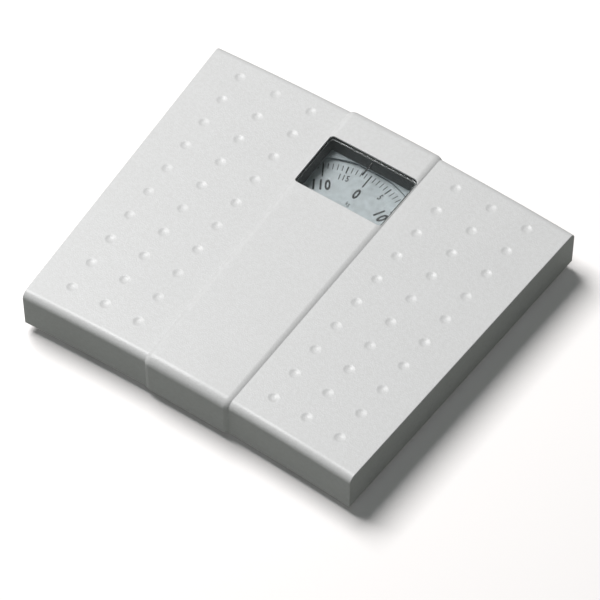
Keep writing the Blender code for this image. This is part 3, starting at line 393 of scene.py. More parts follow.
dimple_places = []
for side in (-1, 1):
    for column in range(DIMPLE_COLUMNS):
        for row in range(DIMPLE_ROWS):
            across = side * (DIMPLE_INNER + column * DIMPLE_STEP)
            dimple_places.append(fan(across, (row - (DIMPLE_ROWS - 1) / 2) * DIMPLE_PITCH))
punches = [copy_of(punch, "dimple_punch", Matrix.Translation((*at, 0))) for at in dimple_places]
bpy.data.objects.remove(punch)
cut_away(cover, join("dimple_punches", punches))
print("dimples", len(dimple_places))


def on_dimple_rim(co):
    if abs(co.z - TREAD) > NEAR:
        return False
    return min(math.hypot(co.x - x, co.y - y) for x, y in dimple_places) < DIMPLE_RADIUS + NEAR


def dimple_rim(edge):
    return all_of(edge, on_dimple_rim) and edge.calc_length() < LONGEST_CHORD


edit(cover)
print("dimple rim edges", pick(cover, "EDGE", dimple_rim))
bpy.ops.mesh.bevel(offset=DIMPLE_LIP, segments=3)
done()
smooth(cover, 40)
settle(cover, "platform", "platform_enamel", "platform_cover")

# %% [markdown]
# ## The window's frame
# A moulded frame lies under the steel. It holds the clear window and hides the works, so only its
# inner walls are seen. A block with the window's outline is opened by insetting its top and bottom
# and bridging the two. Its edges are bevelled by a hair, as a mould leaves them.

# %% Mould the frame
FRAME_WALL = 0.0015
FRAME_LIP = 0.0020
FRAME_EDGE = 0.0003
frame_low, frame_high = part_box("window_frame")


def in_opening(co):
    return abs(co.x) < WINDOW_HALF - NEAR and WINDOW_FRONT + NEAR < co.y < WINDOW_BACK - NEAR


well = window_block("window_well_frame", FRAME_LIP, frame_low.z, frame_high.z)
edit(well)
for normal_z in (1, -1):
    pick(well, "FACE", lambda face: face.normal.z * normal_z > 0.9)
    inset(FRAME_LIP + FRAME_WALL)
pick(well, "FACE", lambda face: abs(face.normal.z) > 0.9 and all_of(face, in_opening))
bpy.ops.mesh.bridge_edge_loops()
print("frame edges", pick(well, "EDGE", lambda edge: folded(edge) and level(edge)))
bpy.ops.mesh.bevel(offset=FRAME_EDGE, segments=2)
cut_lines(window_lines)
done()
wrap_on_fan(well)

# %% [markdown]
# ## The frame's floor
# Beyond the dial's rim nothing of the works may be seen. A thin floor at the foot of the frame closes
# the corners, and a cylinder opens it in a circle a little smaller than the dial.

# %% Close the corners
MASK_SHEET = 0.0008
MASK_OVER_DIAL = 0.0020
ROUND_SIDES = 240
disc_low, disc_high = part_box("dial_disc")
dial_centre = (disc_low + disc_high) / 2
dial_radius = (disc_high.x - disc_low.x) / 2

mask_top = frame_low.z + MASK_SHEET
mask = window_block("well_floor", FRAME_LIP + FRAME_WALL / 2, frame_low.z + NEAR, mask_top)
bpy.ops.mesh.primitive_cylinder_add(
    vertices=ROUND_SIDES, radius=dial_radius - MASK_OVER_DIAL, depth=CUT_PAST,
    location=(dial_centre.x, dial_centre.y, mask_top))
cut_away(mask, named("mask_opening"))
apply_modifier(well, "BOOLEAN", operation="UNION", solver="EXACT", object=mask)
bpy.data.objects.remove(mask)
smooth(well)
settle(well, "platform", "frame_plastic", "window_frame")

# %% [markdown]
# ## The clear window
# The window is a thin moulded plate of clear plastic. Its edges are softly rounded, so they catch a
# thin line of light where the plate meets the steel.

# %% Mould the window
LENS_GAP = 0.0003
LENS_EDGE = 0.00025
lens_low, lens_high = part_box("window_lens")

lens = window_block("clear_window", -LENS_GAP, lens_low.z, lens_high.z)
edit(lens)
print("plate edges", pick(lens, "EDGE", level))
bpy.ops.mesh.bevel(offset=LENS_EDGE, segments=3)
cut_lines(window_lines)
done()
wrap_on_fan(lens)
smooth(lens)
settle(lens, "platform", "lens_clear", "window_lens")

# %% [markdown]
# ## The pointer line
# The black line that the dial is read against is printed on the underside of the window. It is a
# flat strip with square ends, so a thin block with its edges just broken is enough.

# %% Print the pointer line
POINTER_EDGE = 0.00008
line_low, line_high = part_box("index_line")

pointer = box("pointer_line", line_low, line_high)
edit(pointer)
bpy.ops.mesh.select_all(action="SELECT")
bpy.ops.mesh.bevel(offset=POINTER_EDGE, segments=2)
done()
smooth(pointer)
settle(pointer, "platform", "index_print", "index_line")

# %% [markdown]
# ## The dial
# The dial is a thin plastic disc with a slightly thickened rim. It starts as a cylinder with many
# sides, and insetting its top makes the rim's step. Two more insets split the flat middle in rings,
# so that no face is one large polygon with 240 corners.

# %% Turn the disc
DIAL_EDGE = 0.00012
DIAL_RIM = 0.0016
DIAL_RIM_STEP = 0.00012
DIAL_RING_SHARES = (0.45, 0.40)
LARGE_AREA = 0.001

bpy.ops.mesh.primitive_cylinder_add(
    vertices=ROUND_SIDES, radius=dial_radius, depth=disc_high.z - disc_low.z, location=dial_centre)
disc = named("dial_face")
edit(disc)
pick(disc, "EDGE", folded)
bpy.ops.mesh.bevel(offset=DIAL_EDGE, segments=2)
pick(disc, "FACE", lambda face: face.normal.z > 0.9 and face.calc_area() > LARGE_AREA)
inset(DIAL_RIM)
inset(DIAL_RIM_STEP, -DIAL_RIM_STEP)
for share in DIAL_RING_SHARES:
    inset(dial_radius * share)
done()
smooth(disc, 50)
settle(disc, "dial", "dial_face", "dial_disc")

# %% [markdown]
# ## The marks
# Three degrees of dial stand for one kilogram, so a turn holds 120 marks: a long one every 10, a
# middle one every 5 and a short one for each of the rest. Ink has almost no height, so a mark is a
# very thin block with clipped corners. One of each kind is modelled, and its copies are turned about
# the dial's centre.

# %% Print the marks
DEGREES_PER_KG = 3
KG_A_TURN = 360 // DEGREES_PER_KG
PRINT_HEIGHT = 0.00004
PRINT_GAP = 0.00001
PRINT_BASE = disc_high.z - DIAL_RIM_STEP + PRINT_GAP
MARK_OUTER = 0.0650
MARK_SIZES = {10: (0.0115, 0.0009), 5: (0.0059, 0.0009), 1: (0.0047, 0.0005)}


def dial_turn(kilograms):
    """Where a weight's mark lies: clockwise from the pointer, about the dial's centre."""
    turn = Matrix.Rotation(-math.radians(kilograms * DEGREES_PER_KG), 4, "Z")
    return Matrix.Translation((0, dial_centre.y, 0)) @ turn


def mark(length, width):
    """A mark that points at the dial's centre, in the place of the 0."""
    low = (-width / 2, MARK_OUTER - length, PRINT_BASE)
    made = box("mark", low, (width / 2, MARK_OUTER, PRINT_BASE + PRINT_HEIGHT))
    edit(made)
    pick(made, "EDGE", lambda edge: not level(edge))
    bpy.ops.mesh.bevel(offset=width / 8, segments=1)
    done()
    return made


kinds = {step: mark(*size) for step, size in MARK_SIZES.items()}
marks = []
for kilograms in range(KG_A_TURN):
    step = next(step for step in kinds if kilograms % step == 0)
    marks.append(copy_of(kinds[step], "mark", dial_turn(kilograms)))
for made in kinds.values():
    bpy.data.objects.remove(made)
print("marks", len(marks))

# %% [markdown]
# ## The figures
# A text object gives clean outlines for figures. It is thickened and made a mesh, then scaled to its
# height and squeezed in width, since dials use condensed figures. The offset makes the strokes bolder.
# Large figures stand every 10 kg, small ones in between, and the unit every quarter turn.

# %% Print the figures
TENS = {"height": 0.00875, "reach": 0.0468, "weight": 0.04}
FIVES = {"height": 0.0050, "reach": 0.0552, "weight": 0.02}
UNIT = {"height": 0.0042, "reach": 0.0365, "weight": 0.0}
FIGURE_WIDTH = 0.68
FIGURE_SPACING = 1.22
DOUBLED = 0.000001


def figure(text, kilograms, height, reach, weight):
    """A condensed figure as a thin mesh, centred on its mark's line."""
    bpy.ops.object.text_add()
    made = bpy.context.object
    made.data.body = text
    made.data.align_x = "CENTER"
    made.data.align_y = "CENTER"
    made.data.size = 1.0
    made.data.offset = weight
    made.data.space_character = FIGURE_SPACING
    made.data.resolution_u = 5
    made.data.extrude = 0.01
    bpy.ops.object.convert(target="MESH")
    made = bpy.context.object
    low = Vector([min(v.co[i] for v in made.data.vertices) for i in range(3)])
    high = Vector([max(v.co[i] for v in made.data.vertices) for i in range(3)])
    size = height / (high.y - low.y)
    centre = (low + high) / 2
    fit = Matrix.Diagonal((size * FIGURE_WIDTH, size, PRINT_HEIGHT / (high.z - low.z), 1))
    place = Matrix.Translation((0, reach, PRINT_BASE + PRINT_HEIGHT / 2))
    made.data.transform(fit @ Matrix.Translation(-centre))
    made.data.transform(dial_turn(kilograms) @ place)
    edit(made)
    bpy.ops.mesh.select_all(action="SELECT")
    bpy.ops.mesh.remove_doubles(threshold=DOUBLED)
    bpy.ops.mesh.normals_make_consistent(inside=False)
    done()
    return made


marks += [figure(str(kilograms), kilograms, **TENS) for kilograms in range(0, KG_A_TURN, 10)]
marks += [figure(str(kilograms), kilograms, **FIVES) for kilograms in range(5, KG_A_TURN, 10)]
marks += [figure("kg", kilograms, **UNIT) for kilograms in range(0, KG_A_TURN, KG_A_TURN // 4)]
dial_print = join("dial_print", marks)
settle(dial_print, "dial", "index_print")

# %% [markdown]
# ## The rubber feet
# Each foot is a thick rubber button that grips the floor, with a stem that snaps through the tray.
# It is turned from a cylinder: the top is inset and drawn up into the stem, and rings are sunk into
# the underside for grip. It is modelled once and copied to the four corners.

# %% Mould the feet
FOOT_RADIUS = 0.0110
FOOT_TAPER = 0.93
FOOT_STEM = 0.0030
FOOT_TO_TRAY = 0.0003
NECK_LENGTH = 0.0016
COLLAR_LENGTH = 0.0006
COLLAR_FLARE = 1.25
TIP_TAPER = 0.55
FOOT_EDGE = 0.0009
GROOVE_SLOPE = 0.0003
GROOVE_DEPTH = 0.0004
GRIP_RINGS = ((0.0016, -GROOVE_DEPTH), (0.0012, GROOVE_DEPTH), (0.0012, -GROOVE_DEPTH))
CAP_AREA = 0.0001
foot_nodes = [f"foot_{end}_{side}" for end in ("front", "back") for side in ("left", "right")]
foot_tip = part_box(foot_nodes[0])[1].z
foot_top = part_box("base_tray")[0].z - FOOT_TO_TRAY


def outer_rim(edge):
    below = all_of(edge, lambda co: co.z < foot_top + NEAR and math.hypot(co.x, co.y) > FOOT_RADIUS * 0.9)
    return below and level(edge) and folded(edge, 1.0)


bpy.ops.mesh.primitive_cylinder_add(
    vertices=64, radius=FOOT_RADIUS, depth=foot_top, location=(0, 0, foot_top / 2))
foot = named("foot")
edit(foot)
pick(foot, "FACE", lambda face: face.normal.z > 0.9)
bpy.ops.transform.resize(value=(FOOT_TAPER, FOOT_TAPER, 1))
inset(FOOT_RADIUS * FOOT_TAPER - FOOT_STEM)
extrude((0, 0, NECK_LENGTH))
bpy.ops.mesh.extrude_region_move()
bpy.ops.transform.resize(value=(COLLAR_FLARE, COLLAR_FLARE, 1))
extrude((0, 0, COLLAR_LENGTH))
extrude((0, 0, foot_tip - foot_top - NECK_LENGTH - COLLAR_LENGTH))
bpy.ops.transform.resize(value=(TIP_TAPER, TIP_TAPER, 1))
pick(foot, "FACE", lambda face: face.normal.z < -0.9 and face.calc_area() > CAP_AREA)
for land, depth in GRIP_RINGS:
    inset(land)
    inset(GROOVE_SLOPE, depth)
print("outer rim edges", pick(foot, "EDGE", outer_rim))
bpy.ops.mesh.bevel(offset=FOOT_EDGE, segments=4)
done()
for node in foot_nodes:
    low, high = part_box(node)
    centre = (low + high) / 2
    made = copy_of(foot, node.replace("foot", "rubber_foot"), Matrix.Translation((centre.x, centre.y, 0)))
    smooth(made)
    settle(made, "base", "foot_rubber", node)
bpy.data.objects.remove(foot)

# %% [markdown]
# ## The zero wheel
# Under the back of the tray a finger turns a ribbed wheel to bring the dial back to zero. Every
# other pair of faces round a cylinder's rim is pushed in, which leaves the ribs. Both ends are
# dished by insetting them. The middle stays closed, and the screw's end sits in it.

# %% Mould the zero wheel
RIBS = 32
RIB_DEPTH = 0.0006
WHEEL_RIM = 0.0020
DISH_SLOPE = 0.0006
DISH_DEPTH = 0.0005
HUB_RADIUS = 0.0049
wheel_low, wheel_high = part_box("zero_wheel")
wheel_centre = (wheel_low + wheel_high) / 2
wheel_radius = (wheel_high.x - wheel_low.x) / 2
dish_floor = wheel_radius - RIB_DEPTH - WHEEL_RIM - DISH_SLOPE - HUB_RADIUS

bpy.ops.mesh.primitive_cylinder_add(
    vertices=4 * RIBS, radius=wheel_radius, depth=wheel_high.z - wheel_low.z, location=wheel_centre)
wheel = named("zero_setting_wheel")


def in_groove(face):
    at = face.calc_center_median() - wheel_centre
    turn = math.degrees(math.atan2(at.y, at.x)) % (360 / RIBS)
    return abs(face.normal.z) < 0.1 and turn < 180 / RIBS


edit(wheel)
pick(wheel, "FACE", in_groove)
bpy.ops.mesh.extrude_region_shrink_fatten(TRANSFORM_OT_shrink_fatten={"value": -RIB_DEPTH})
for normal_z in (1, -1):
    pick(wheel, "FACE", lambda face: face.normal.z * normal_z > 0.9 and face.calc_area() > CAP_AREA)
    inset(WHEEL_RIM)
    inset(DISH_SLOPE, -DISH_DEPTH)
    inset(dish_floor)
done()
smooth(wheel)
settle(wheel, "zero_wheel", "wheel_plastic", "zero_wheel")

# %% [markdown]
# ## The springs
# The springs are drawn wire, wound into a coil with a straight tail at each end. A curve with a round
# bevel is the quickest way to sweep a wire along a helix, and it is made a mesh at once. They stretch
# as the scale is loaded.

# %% Wind the springs
STEPS_A_TURN = 28
MAIN_WIRE = 0.0009
RACK_WIRE = 0.00035
HOLD_WIRE = 0.0004
RACK_TAIL = 0.0042


def wound(name, radius, wire, turns, heights, matrix):
    """A coil about Z. The four heights are the lower tip, the coil's two ends and the upper tip."""
    low_tip, low_end, high_end, high_tip = heights
    path = [(radius, 0, low_tip), (radius, 0, low_end - 1.5 * wire)]
    for i in range(STEPS_A_TURN * turns + 1):
        turn = math.tau * i / STEPS_A_TURN
        rise = low_end + (high_end - low_end) * i / (STEPS_A_TURN * turns)
        path.append((radius * math.cos(turn), radius * math.sin(turn), rise))
    path += [(radius, 0, high_end + 1.5 * wire), (radius, 0, high_tip)]
    bpy.ops.curve.primitive_bezier_curve_add()
    made = bpy.context.object
    made.data.splines.clear()
    line = made.data.splines.new("POLY")
    line.points.add(len(path) - 1)
    for point, place in zip(line.points, path):
        point.co = (*(matrix @ Vector(place)), 1)
    made.data.bevel_depth = wire
    made.data.bevel_resolution = 3
    made.data.use_fill_caps = True
    bpy.ops.object.convert(target="MESH")
    made = named(name)
    bpy.ops.object.shade_smooth_by_angle(angle=math.radians(50))
    return made


def hang(spring, node, body, start, end):
    """Gives the spring its finish, hides the node it replaces and bakes its place into its mesh; the body,
    start and end are not used.
    """
    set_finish(spring, "spring_steel")
    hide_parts(node)
    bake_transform(spring)
    print(spring.name, len(spring.data.polygons), "faces")


def upright_spring(node, name, body, wire, turns, low_tail, high_tail, held_low):
    """An upright spring where the frame has it."""
    low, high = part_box(node)
    centre = (low + high) / 2
    heights = (low.z, low.z + low_tail, high.z - high_tail, high.z)
    place = Matrix.Translation((centre.x, centre.y, 0))
    spring = wound(name, (high.x - low.x) / 2 - wire, wire, turns, heights, place)
    ends = [(centre.x, centre.y, heights[1]), (centre.x, centre.y, heights[2])]
    hang(spring, node, body, *(ends if held_low else reversed(ends)))


upright_spring("main_spring", "weighing_spring", "nose_plate", MAIN_WIRE,
               turns=5, low_tail=0.0024, high_tail=0.0032, held_low=False)
for side in ("left", "right"):
    upright_spring(f"hold_down_spring_{side}", f"holding_spring_{side}", "platform", HOLD_WIRE,
                   turns=7, low_tail=0.0032, high_tail=0.0055, held_low=True)

low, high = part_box("rack_spring")
coil_radius = (high.x - low.x) / 2 - RACK_WIRE
centre = (low + high) / 2
front_end = (centre.x, low.y + RACK_TAIL, centre.z)
back_end = (centre.x, high.y - RACK_TAIL, centre.z)
length = high.y - low.y - 2 * RACK_TAIL
heights = (-RACK_TAIL, 0, length, length + RACK_TAIL)
forwards = Matrix.Translation(back_end) @ Matrix.Rotation(math.pi / 2, 4, "X")
pull = wound("rack_return_spring", coil_radius, RACK_WIRE, 12, heights, forwards)
hang(pull, "rack_spring", "rack", front_end, back_end)

# %% [markdown]
# ## The works
# The levers, stands, posts and brackets are already the right shape. What they lack is the broken
# edge of real sheet metal. A copy of each has its loose triangles merged and its flat faces joined,
# its sharp edges are bevelled by a hair, and it stands for the bare piece.

# %% Break the edges of the works
EDGE_BREAK = {"base_tray": 0.00025, "dial_bridge": 0.0002}
FINE_BREAK = 0.00012
FLAT_WITHIN = math.radians(0.5)
SHARP_OVER = math.radians(50)
replaced = {"platform_cover", "window_frame", "window_lens", "index_line", "dial_disc", "zero_wheel",
            "main_spring", "rack_spring", "hold_down_spring_left", "hold_down_spring_right", *foot_nodes}
bodies = frame["record"]["behaviour"]["bodies"]
body_of = {name: body for body, names in bodies.items() for name in names}
slot_of = {}
for name, node in frame["nodes"].items():
    slot_of[name] = node.data.materials[0].name
    if name in replaced:
        continue
    made = copy_of(node, f"{name}_finished", Matrix.Identity(4))
    made.data.materials.clear()
    edit(made)
    bpy.ops.mesh.select_all(action="SELECT")
    bpy.ops.mesh.remove_doubles(threshold=DOUBLED)
    bpy.ops.mesh.dissolve_limited(angle_limit=FLAT_WITHIN)
    done()
    apply_modifier(made, "BEVEL", width=EDGE_BREAK.get(name, FINE_BREAK), segments=2, limit_method="ANGLE",
                   angle_limit=SHARP_OVER, use_clamp_overlap=True, miter_outer="MITER_ARC")
    smooth(made, 30)
    settle(made, body_of[name], slot_of[name], name)

# %% [markdown]
# # Finishes
# Every surface gets a finish built from nodes, so that it has no picture files and stays sharp at
# any distance. Effects that several finishes share are node groups, each built once. They read
# object coordinates, which are metres here, so a noise scale of 1000 makes grains of a millimetre.

# %% Tools for nodes


def add(tree, kind, values=None, **settings):
    """Adds a node. The values go to its input sockets, and the settings are its own."""
    node = tree.nodes.new(kind)
    for name, value in settings.items():
        setattr(node, name, value)
    for socket, value in (values or {}).items():
        if isinstance(value, bpy.types.NodeSocket):
            tree.links.new(value, node.inputs[socket])
        else:
            node.inputs[socket].default_value = value
    return node


def maths(tree, operation, first, second=0.0, clamp=False):
    return add(tree, "ShaderNodeMath", {0: first, 1: second}, operation=operation, use_clamp=clamp).outputs[0]


def ramp(tree, value, low, high, start=0.0, end=1.0):
    """Carries a value from one range to another, and keeps it inside."""
    values = {"Value": value, "From Min": low, "From Max": high, "To Min": start, "To Max": end}
    return add(tree, "ShaderNodeMapRange", values, interpolation_type="SMOOTHSTEP").outputs["Result"]


def blend_colours(tree, amount, first, second):
    node = tree.nodes.new("ShaderNodeMix")
    node.data_type = "RGBA"
    for socket, value in ((0, amount), (6, first), (7, second)):
        if isinstance(value, bpy.types.NodeSocket):
            tree.links.new(value, node.inputs[socket])
        else:
            node.inputs[socket].default_value = value if socket == 0 else (*value, 1.0)
    return node.outputs[2]


def noise(tree, scale, detail, stretch=None):
    """A noise in object coordinates. A stretch squeezes it along some axes, as rolling does."""
    where = add(tree, "ShaderNodeTexCoord").outputs["Object"]
    if stretch:
        where = add(tree, "ShaderNodeMapping", {"Vector": where, "Scale": stretch}).outputs["Vector"]
    return add(tree, "ShaderNodeTexNoise", {"Vector": where, "Scale": scale, "Detail": detail}).outputs["Fac"]


def effect(name, inputs, outputs):
    """Starts a node group with named inputs and outputs, all of them numbers."""
    tree = bpy.data.node_groups.new(name, "ShaderNodeTree")
    for socket, value in inputs.items():
        tree.interface.new_socket(socket, in_out="INPUT", socket_type="NodeSocketFloat").default_value = value
    for socket in outputs:
        tree.interface.new_socket(socket, in_out="OUTPUT", socket_type="NodeSocketFloat")
    return tree, tree.nodes.new("NodeGroupInput").outputs, tree.nodes.new("NodeGroupOutput").inputs


def use(tree, group, **values):
    """Places a shared effect in a material, with this material's own values."""
    node = tree.nodes.new("ShaderNodeGroup")
    node.node_tree = group
    for socket, value in values.items():
        node.inputs[socket].default_value = value
    return node.outputs


# %% [markdown]
# ## Grain
# Enamel, paint and moulded plastic all have a fine skin: enamel is a little like orange peel, and a
# mould leaves a matt grain. One noise gives the height of the grain, and a slower one gathers it in
# patches, since no real skin is even.

# %% Build the grain
grain, takes, gives = effect("skin_grain", {"Size": 900.0, "Patches": 60.0}, ["Height", "Shade"])
fine = noise(grain, takes["Size"], 2.0)
wide = noise(grain, takes["Patches"], 3.0)
pebbles = maths(grain, "MULTIPLY", ramp(grain, fine, 0.3, 0.7), ramp(grain, wide, 0.2, 0.6, 0.6, 1.0))
shade = maths(grain, "ADD", maths(grain, "MULTIPLY", fine, 0.4), maths(grain, "MULTIPLY", wide, 0.6))
grain.links.new(pebbles, gives["Height"])
grain.links.new(shade, gives["Shade"])
print("grain gives", [socket.name for socket in gives if socket.name])

# %% [markdown]
# ## Worn edges
# Handling rubs paint thin on every edge. The Bevel node gives the direction a rounded edge would
# have, and where that differs from the true one there is an edge. A noise breaks the mask up.

# %% Build the worn edges
worn, takes, gives = effect("worn_edges", {"Width": 0.0005, "Breakup": 500.0}, ["Mask"])
rounded = add(worn, "ShaderNodeBevel", {"Radius": takes["Width"]}, samples=4).outputs["Normal"]
true = add(worn, "ShaderNodeNewGeometry").outputs["Normal"]
along = add(worn, "ShaderNodeVectorMath", {0: rounded, 1: true}, operation="DOT_PRODUCT").outputs["Value"]
near_edge = ramp(worn, along, 0.99, 0.80)
broken = ramp(worn, noise(worn, takes["Breakup"], 4.0), 0.35, 0.60)
worn.links.new(maths(worn, "MULTIPLY", near_edge, broken, clamp=True), gives["Mask"])
print("worn edges give", [socket.name for socket in gives if socket.name])

# %% [markdown]
# ## Dust and smudges
# Dust settles on what faces up and gathers in patches. Smudges are the faint marks of hands and
# feet: large soft clouds that only change the gloss.

# %% Build the dust
SMUDGE_SCALE = 25.0
dust, takes, gives = effect("settled_dust", {"Amount": 0.3, "Size": 120.0}, ["Mask", "Smudge"])
facing = add(dust, "ShaderNodeNewGeometry").outputs["Normal"]
up = add(dust, "ShaderNodeSeparateXYZ", {0: facing}).outputs["Z"]
cloud = noise(dust, takes["Size"], 6.0)
patchy = maths(dust, "MULTIPLY", ramp(dust, up, 0.3, 0.95), ramp(dust, cloud, 0.4, 0.75))
dust.links.new(maths(dust, "MULTIPLY", patchy, takes["Amount"], clamp=True), gives["Mask"])
dust.links.new(ramp(dust, noise(dust, SMUDGE_SCALE, 4.0), 0.35, 0.7), gives["Smudge"])
print("dust gives", [socket.name for socket in gives if socket.name])

# %% [markdown]
# ## Rolled metal
# Sheet and wire keep fine lines from the rollers. A noise squeezed along one axis gives them, and a
# cell pattern underneath is the faint spangle of zinc plating.

# %% Build the rolled metal
rolled, takes, gives = effect("rolled_metal", {"Lines": 1.0}, ["Height", "Shade"])
lines = noise(rolled, 900.0, 4.0, (1.0, 0.04, 1.0))
across = noise(rolled, 500.0, 4.0, (0.06, 1.0, 1.0))
where = add(rolled, "ShaderNodeTexCoord").outputs["Object"]
cells = add(rolled, "ShaderNodeTexVoronoi", {"Vector": where, "Scale": 260.0}).outputs["Color"]
cell = add(rolled, "ShaderNodeSeparateColor", {0: cells}).outputs[0]
lines = maths(rolled, "MULTIPLY", lines, 0.7)
both_lines = maths(rolled, "ADD", lines, maths(rolled, "MULTIPLY", across, 0.3))
shade = maths(rolled, "MULTIPLY", both_lines, 0.6)
shade = maths(rolled, "ADD", shade, maths(rolled, "MULTIPLY", cell, 0.4))
rolled.links.new(maths(rolled, "MULTIPLY", both_lines, takes["Lines"]), gives["Height"])
rolled.links.new(shade, gives["Shade"])
print("rolled metal gives", [socket.name for socket in gives if socket.name])

# %% [markdown]
# ## From effects to finishes
# Each finish is one Principled shader. The plain numbers are set on it directly, and only what
# varies over the surface is wired: a colour, a roughness and a bump.

# %% Tools for finishes
finishes = {}


def finish(name, **plain):
    """Starts a material with a Principled shader, and sets its plain numbers."""
    material = bpy.data.materials.new(name)
    material.use_nodes = True
    tree = material.node_tree
    shader = tree.nodes["Principled BSDF"]
    for socket, value in plain.items():
        shader.inputs[socket.replace("_", " ")].default_value = value
    finishes[name] = material
    return tree, shader.inputs


def wire_up(tree, sockets, colour, roughness, height, depth, strength=0.5):
    """Wires what varies: a colour, a roughness, and a height that becomes a bump this deep in metres."""
    tree.links.new(colour, sockets["Base Color"])
    tree.links.new(roughness, sockets["Roughness"])
    bump = add(tree, "ShaderNodeBump", {"Height": height, "Distance": depth, "Strength": strength})
    tree.links.new(bump.outputs["Normal"], sockets["Normal"])


# %% [markdown]
# ## White enamel
# The platform is sprayed with a hard white enamel whose skin is finely pebbled, so that wet feet
# grip. It has yellowed a touch in patches, and its edges are a little darker where it ran thin.

# %% Enamel
tree, sockets = finish("platform_enamel", IOR=1.5, Coat_Weight=0.12, Coat_Roughness=0.25)
skin = use(tree, grain, Size=1150.0, Patches=420.0)
edges = use(tree, worn, Width=0.0007, Breakup=350.0)
marks_left = use(tree, dust, Amount=0.30, Size=160.0)
clouds = ramp(tree, skin["Shade"], 0.35, 0.65)
white = blend_colours(tree, clouds, (0.762, 0.758, 0.754), (0.808, 0.806, 0.806))
white = blend_colours(tree, maths(tree, "MULTIPLY", marks_left["Mask"], 0.10), white, (0.62, 0.60, 0.56))
white = blend_colours(tree, maths(tree, "MULTIPLY", edges["Mask"], 0.30), white, (0.56, 0.555, 0.53))
rough = ramp(tree, marks_left["Smudge"], 0.0, 1.0, 0.36, 0.47)
wire_up(tree, sockets, white, rough, skin["Height"], depth=0.00008, strength=0.6)

# %% [markdown]
# ## Plastics
# Five plastics differ only in colour and in how coarse their mould's grain is, so one function makes
# them all. Dust shows on the dark ones, and their edges are polished pale by handling. The frame is
# dark plastic, and its dark walls also paint the shade inside the window's well. Its floor is pale
# like the dial, so its colour changes with height.

# %% Plastics


def plastic(name, colour, pale, roughness, size, depth):
    """A moulded plastic. The size is its grain's noise scale, and the depth is in metres."""
    tree, sockets = finish(name, IOR=1.46)
    skin = use(tree, grain, Size=size, Patches=size / 12)
    edges = use(tree, worn, Width=0.0003, Breakup=900.0)
    lint = use(tree, dust, Amount=0.5, Size=400.0)
    clouds = ramp(tree, skin["Shade"], 0.35, 0.65)
    base = blend_colours(tree, clouds, [c * 0.88 for c in colour], [c * 1.08 for c in colour])
    base = blend_colours(tree, maths(tree, "MULTIPLY", edges["Mask"], 0.4), base, pale)
    base = blend_colours(tree, maths(tree, "MULTIPLY", lint["Mask"], 0.12), base, (0.45, 0.43, 0.40))
    rough = ramp(tree, skin["Height"], 0.0, 1.0, roughness - 0.06, roughness + 0.08)
    wire_up(tree, sockets, base, rough, skin["Height"], depth)
    return tree, sockets


tree, sockets = plastic("frame_plastic", (0.085, 0.088, 0.088), (0.16, 0.16, 0.16), 0.52, 2600.0, 0.00003)
# painted shade: above the floor the frame keeps its dark plastic, which stands in for the shade in the
# window's well; the floor below is pale like the dial
where = add(tree, "ShaderNodeTexCoord").outputs["Object"]
height = add(tree, "ShaderNodeSeparateXYZ", {0: where}).outputs["Z"]
floor_below_wall_shade = ramp(tree, height, mask_top + 0.0006, mask_top + 0.0001)
dark = sockets["Base Color"].links[0].from_socket
tree.links.new(blend_colours(tree, floor_below_wall_shade, dark, (0.50, 0.54, 0.56)), sockets["Base Color"])
plastic("hub_plastic", (0.20, 0.20, 0.21), (0.32, 0.32, 0.33), 0.48, 2400.0, 0.00003)
plastic("wheel_plastic", (0.025, 0.025, 0.026), (0.09, 0.09, 0.09), 0.45, 2000.0, 0.00004)
plastic("dial_face", (0.60, 0.635, 0.655), (0.70, 0.72, 0.73), 0.50, 3200.0, 0.00001)
plastic("index_print", (0.012, 0.012, 0.013), (0.03, 0.03, 0.03), 0.62, 5000.0, 0.000006)

# %% [markdown]
# ## Rubber
# Rubber is matt and almost black. It picks up pale dust, most of all in its grain.

# %% Rubber
tree, sockets = finish("foot_rubber", IOR=1.5)
skin = use(tree, grain, Size=1800.0, Patches=200.0)
lint = use(tree, dust, Amount=0.8, Size=500.0)
clouds = ramp(tree, skin["Shade"], 0.35, 0.65)
black = blend_colours(tree, clouds, (0.016, 0.016, 0.017), (0.034, 0.033, 0.033))
black = blend_colours(tree, maths(tree, "MULTIPLY", lint["Mask"], 0.3), black, (0.24, 0.23, 0.21))
rough = ramp(tree, skin["Height"], 0.0, 1.0, 0.70, 0.88)
wire_up(tree, sockets, black, rough, skin["Height"], depth=0.00006)

# %% [markdown]
# ## Grey paint
# The tray is steel under a thin grey paint with a faint hammered skin. On its folds the paint has
# worn through, and there the finish turns to bare metal.

# %% Tray paint
tree, sockets = finish("tray_paint", IOR=1.5)
skin = use(tree, grain, Size=420.0, Patches=40.0)
edges = use(tree, worn, Width=0.0008, Breakup=260.0)
lint = use(tree, dust, Amount=0.6, Size=150.0)
clouds = ramp(tree, skin["Shade"], 0.35, 0.65)
grey = blend_colours(tree, clouds, (0.235, 0.245, 0.245), (0.320, 0.330, 0.330))
grey = blend_colours(tree, maths(tree, "MULTIPLY", lint["Mask"], 0.35), grey, (0.42, 0.40, 0.37))
grey = blend_colours(tree, edges["Mask"], grey, (0.52, 0.52, 0.51))
tree.links.new(edges["Mask"], sockets["Metallic"])
rough = ramp(tree, skin["Height"], 0.0, 1.0, 0.34, 0.50)
wire_up(tree, sockets, grey, rough, skin["Height"], depth=0.00010)

# %% [markdown]
# ## Metals
# Zinc plate, spring wire and brass are the same kind of surface: metal with rolled lines, a faint
# spangle, and duller patches where it has tarnished.

# %% Metals


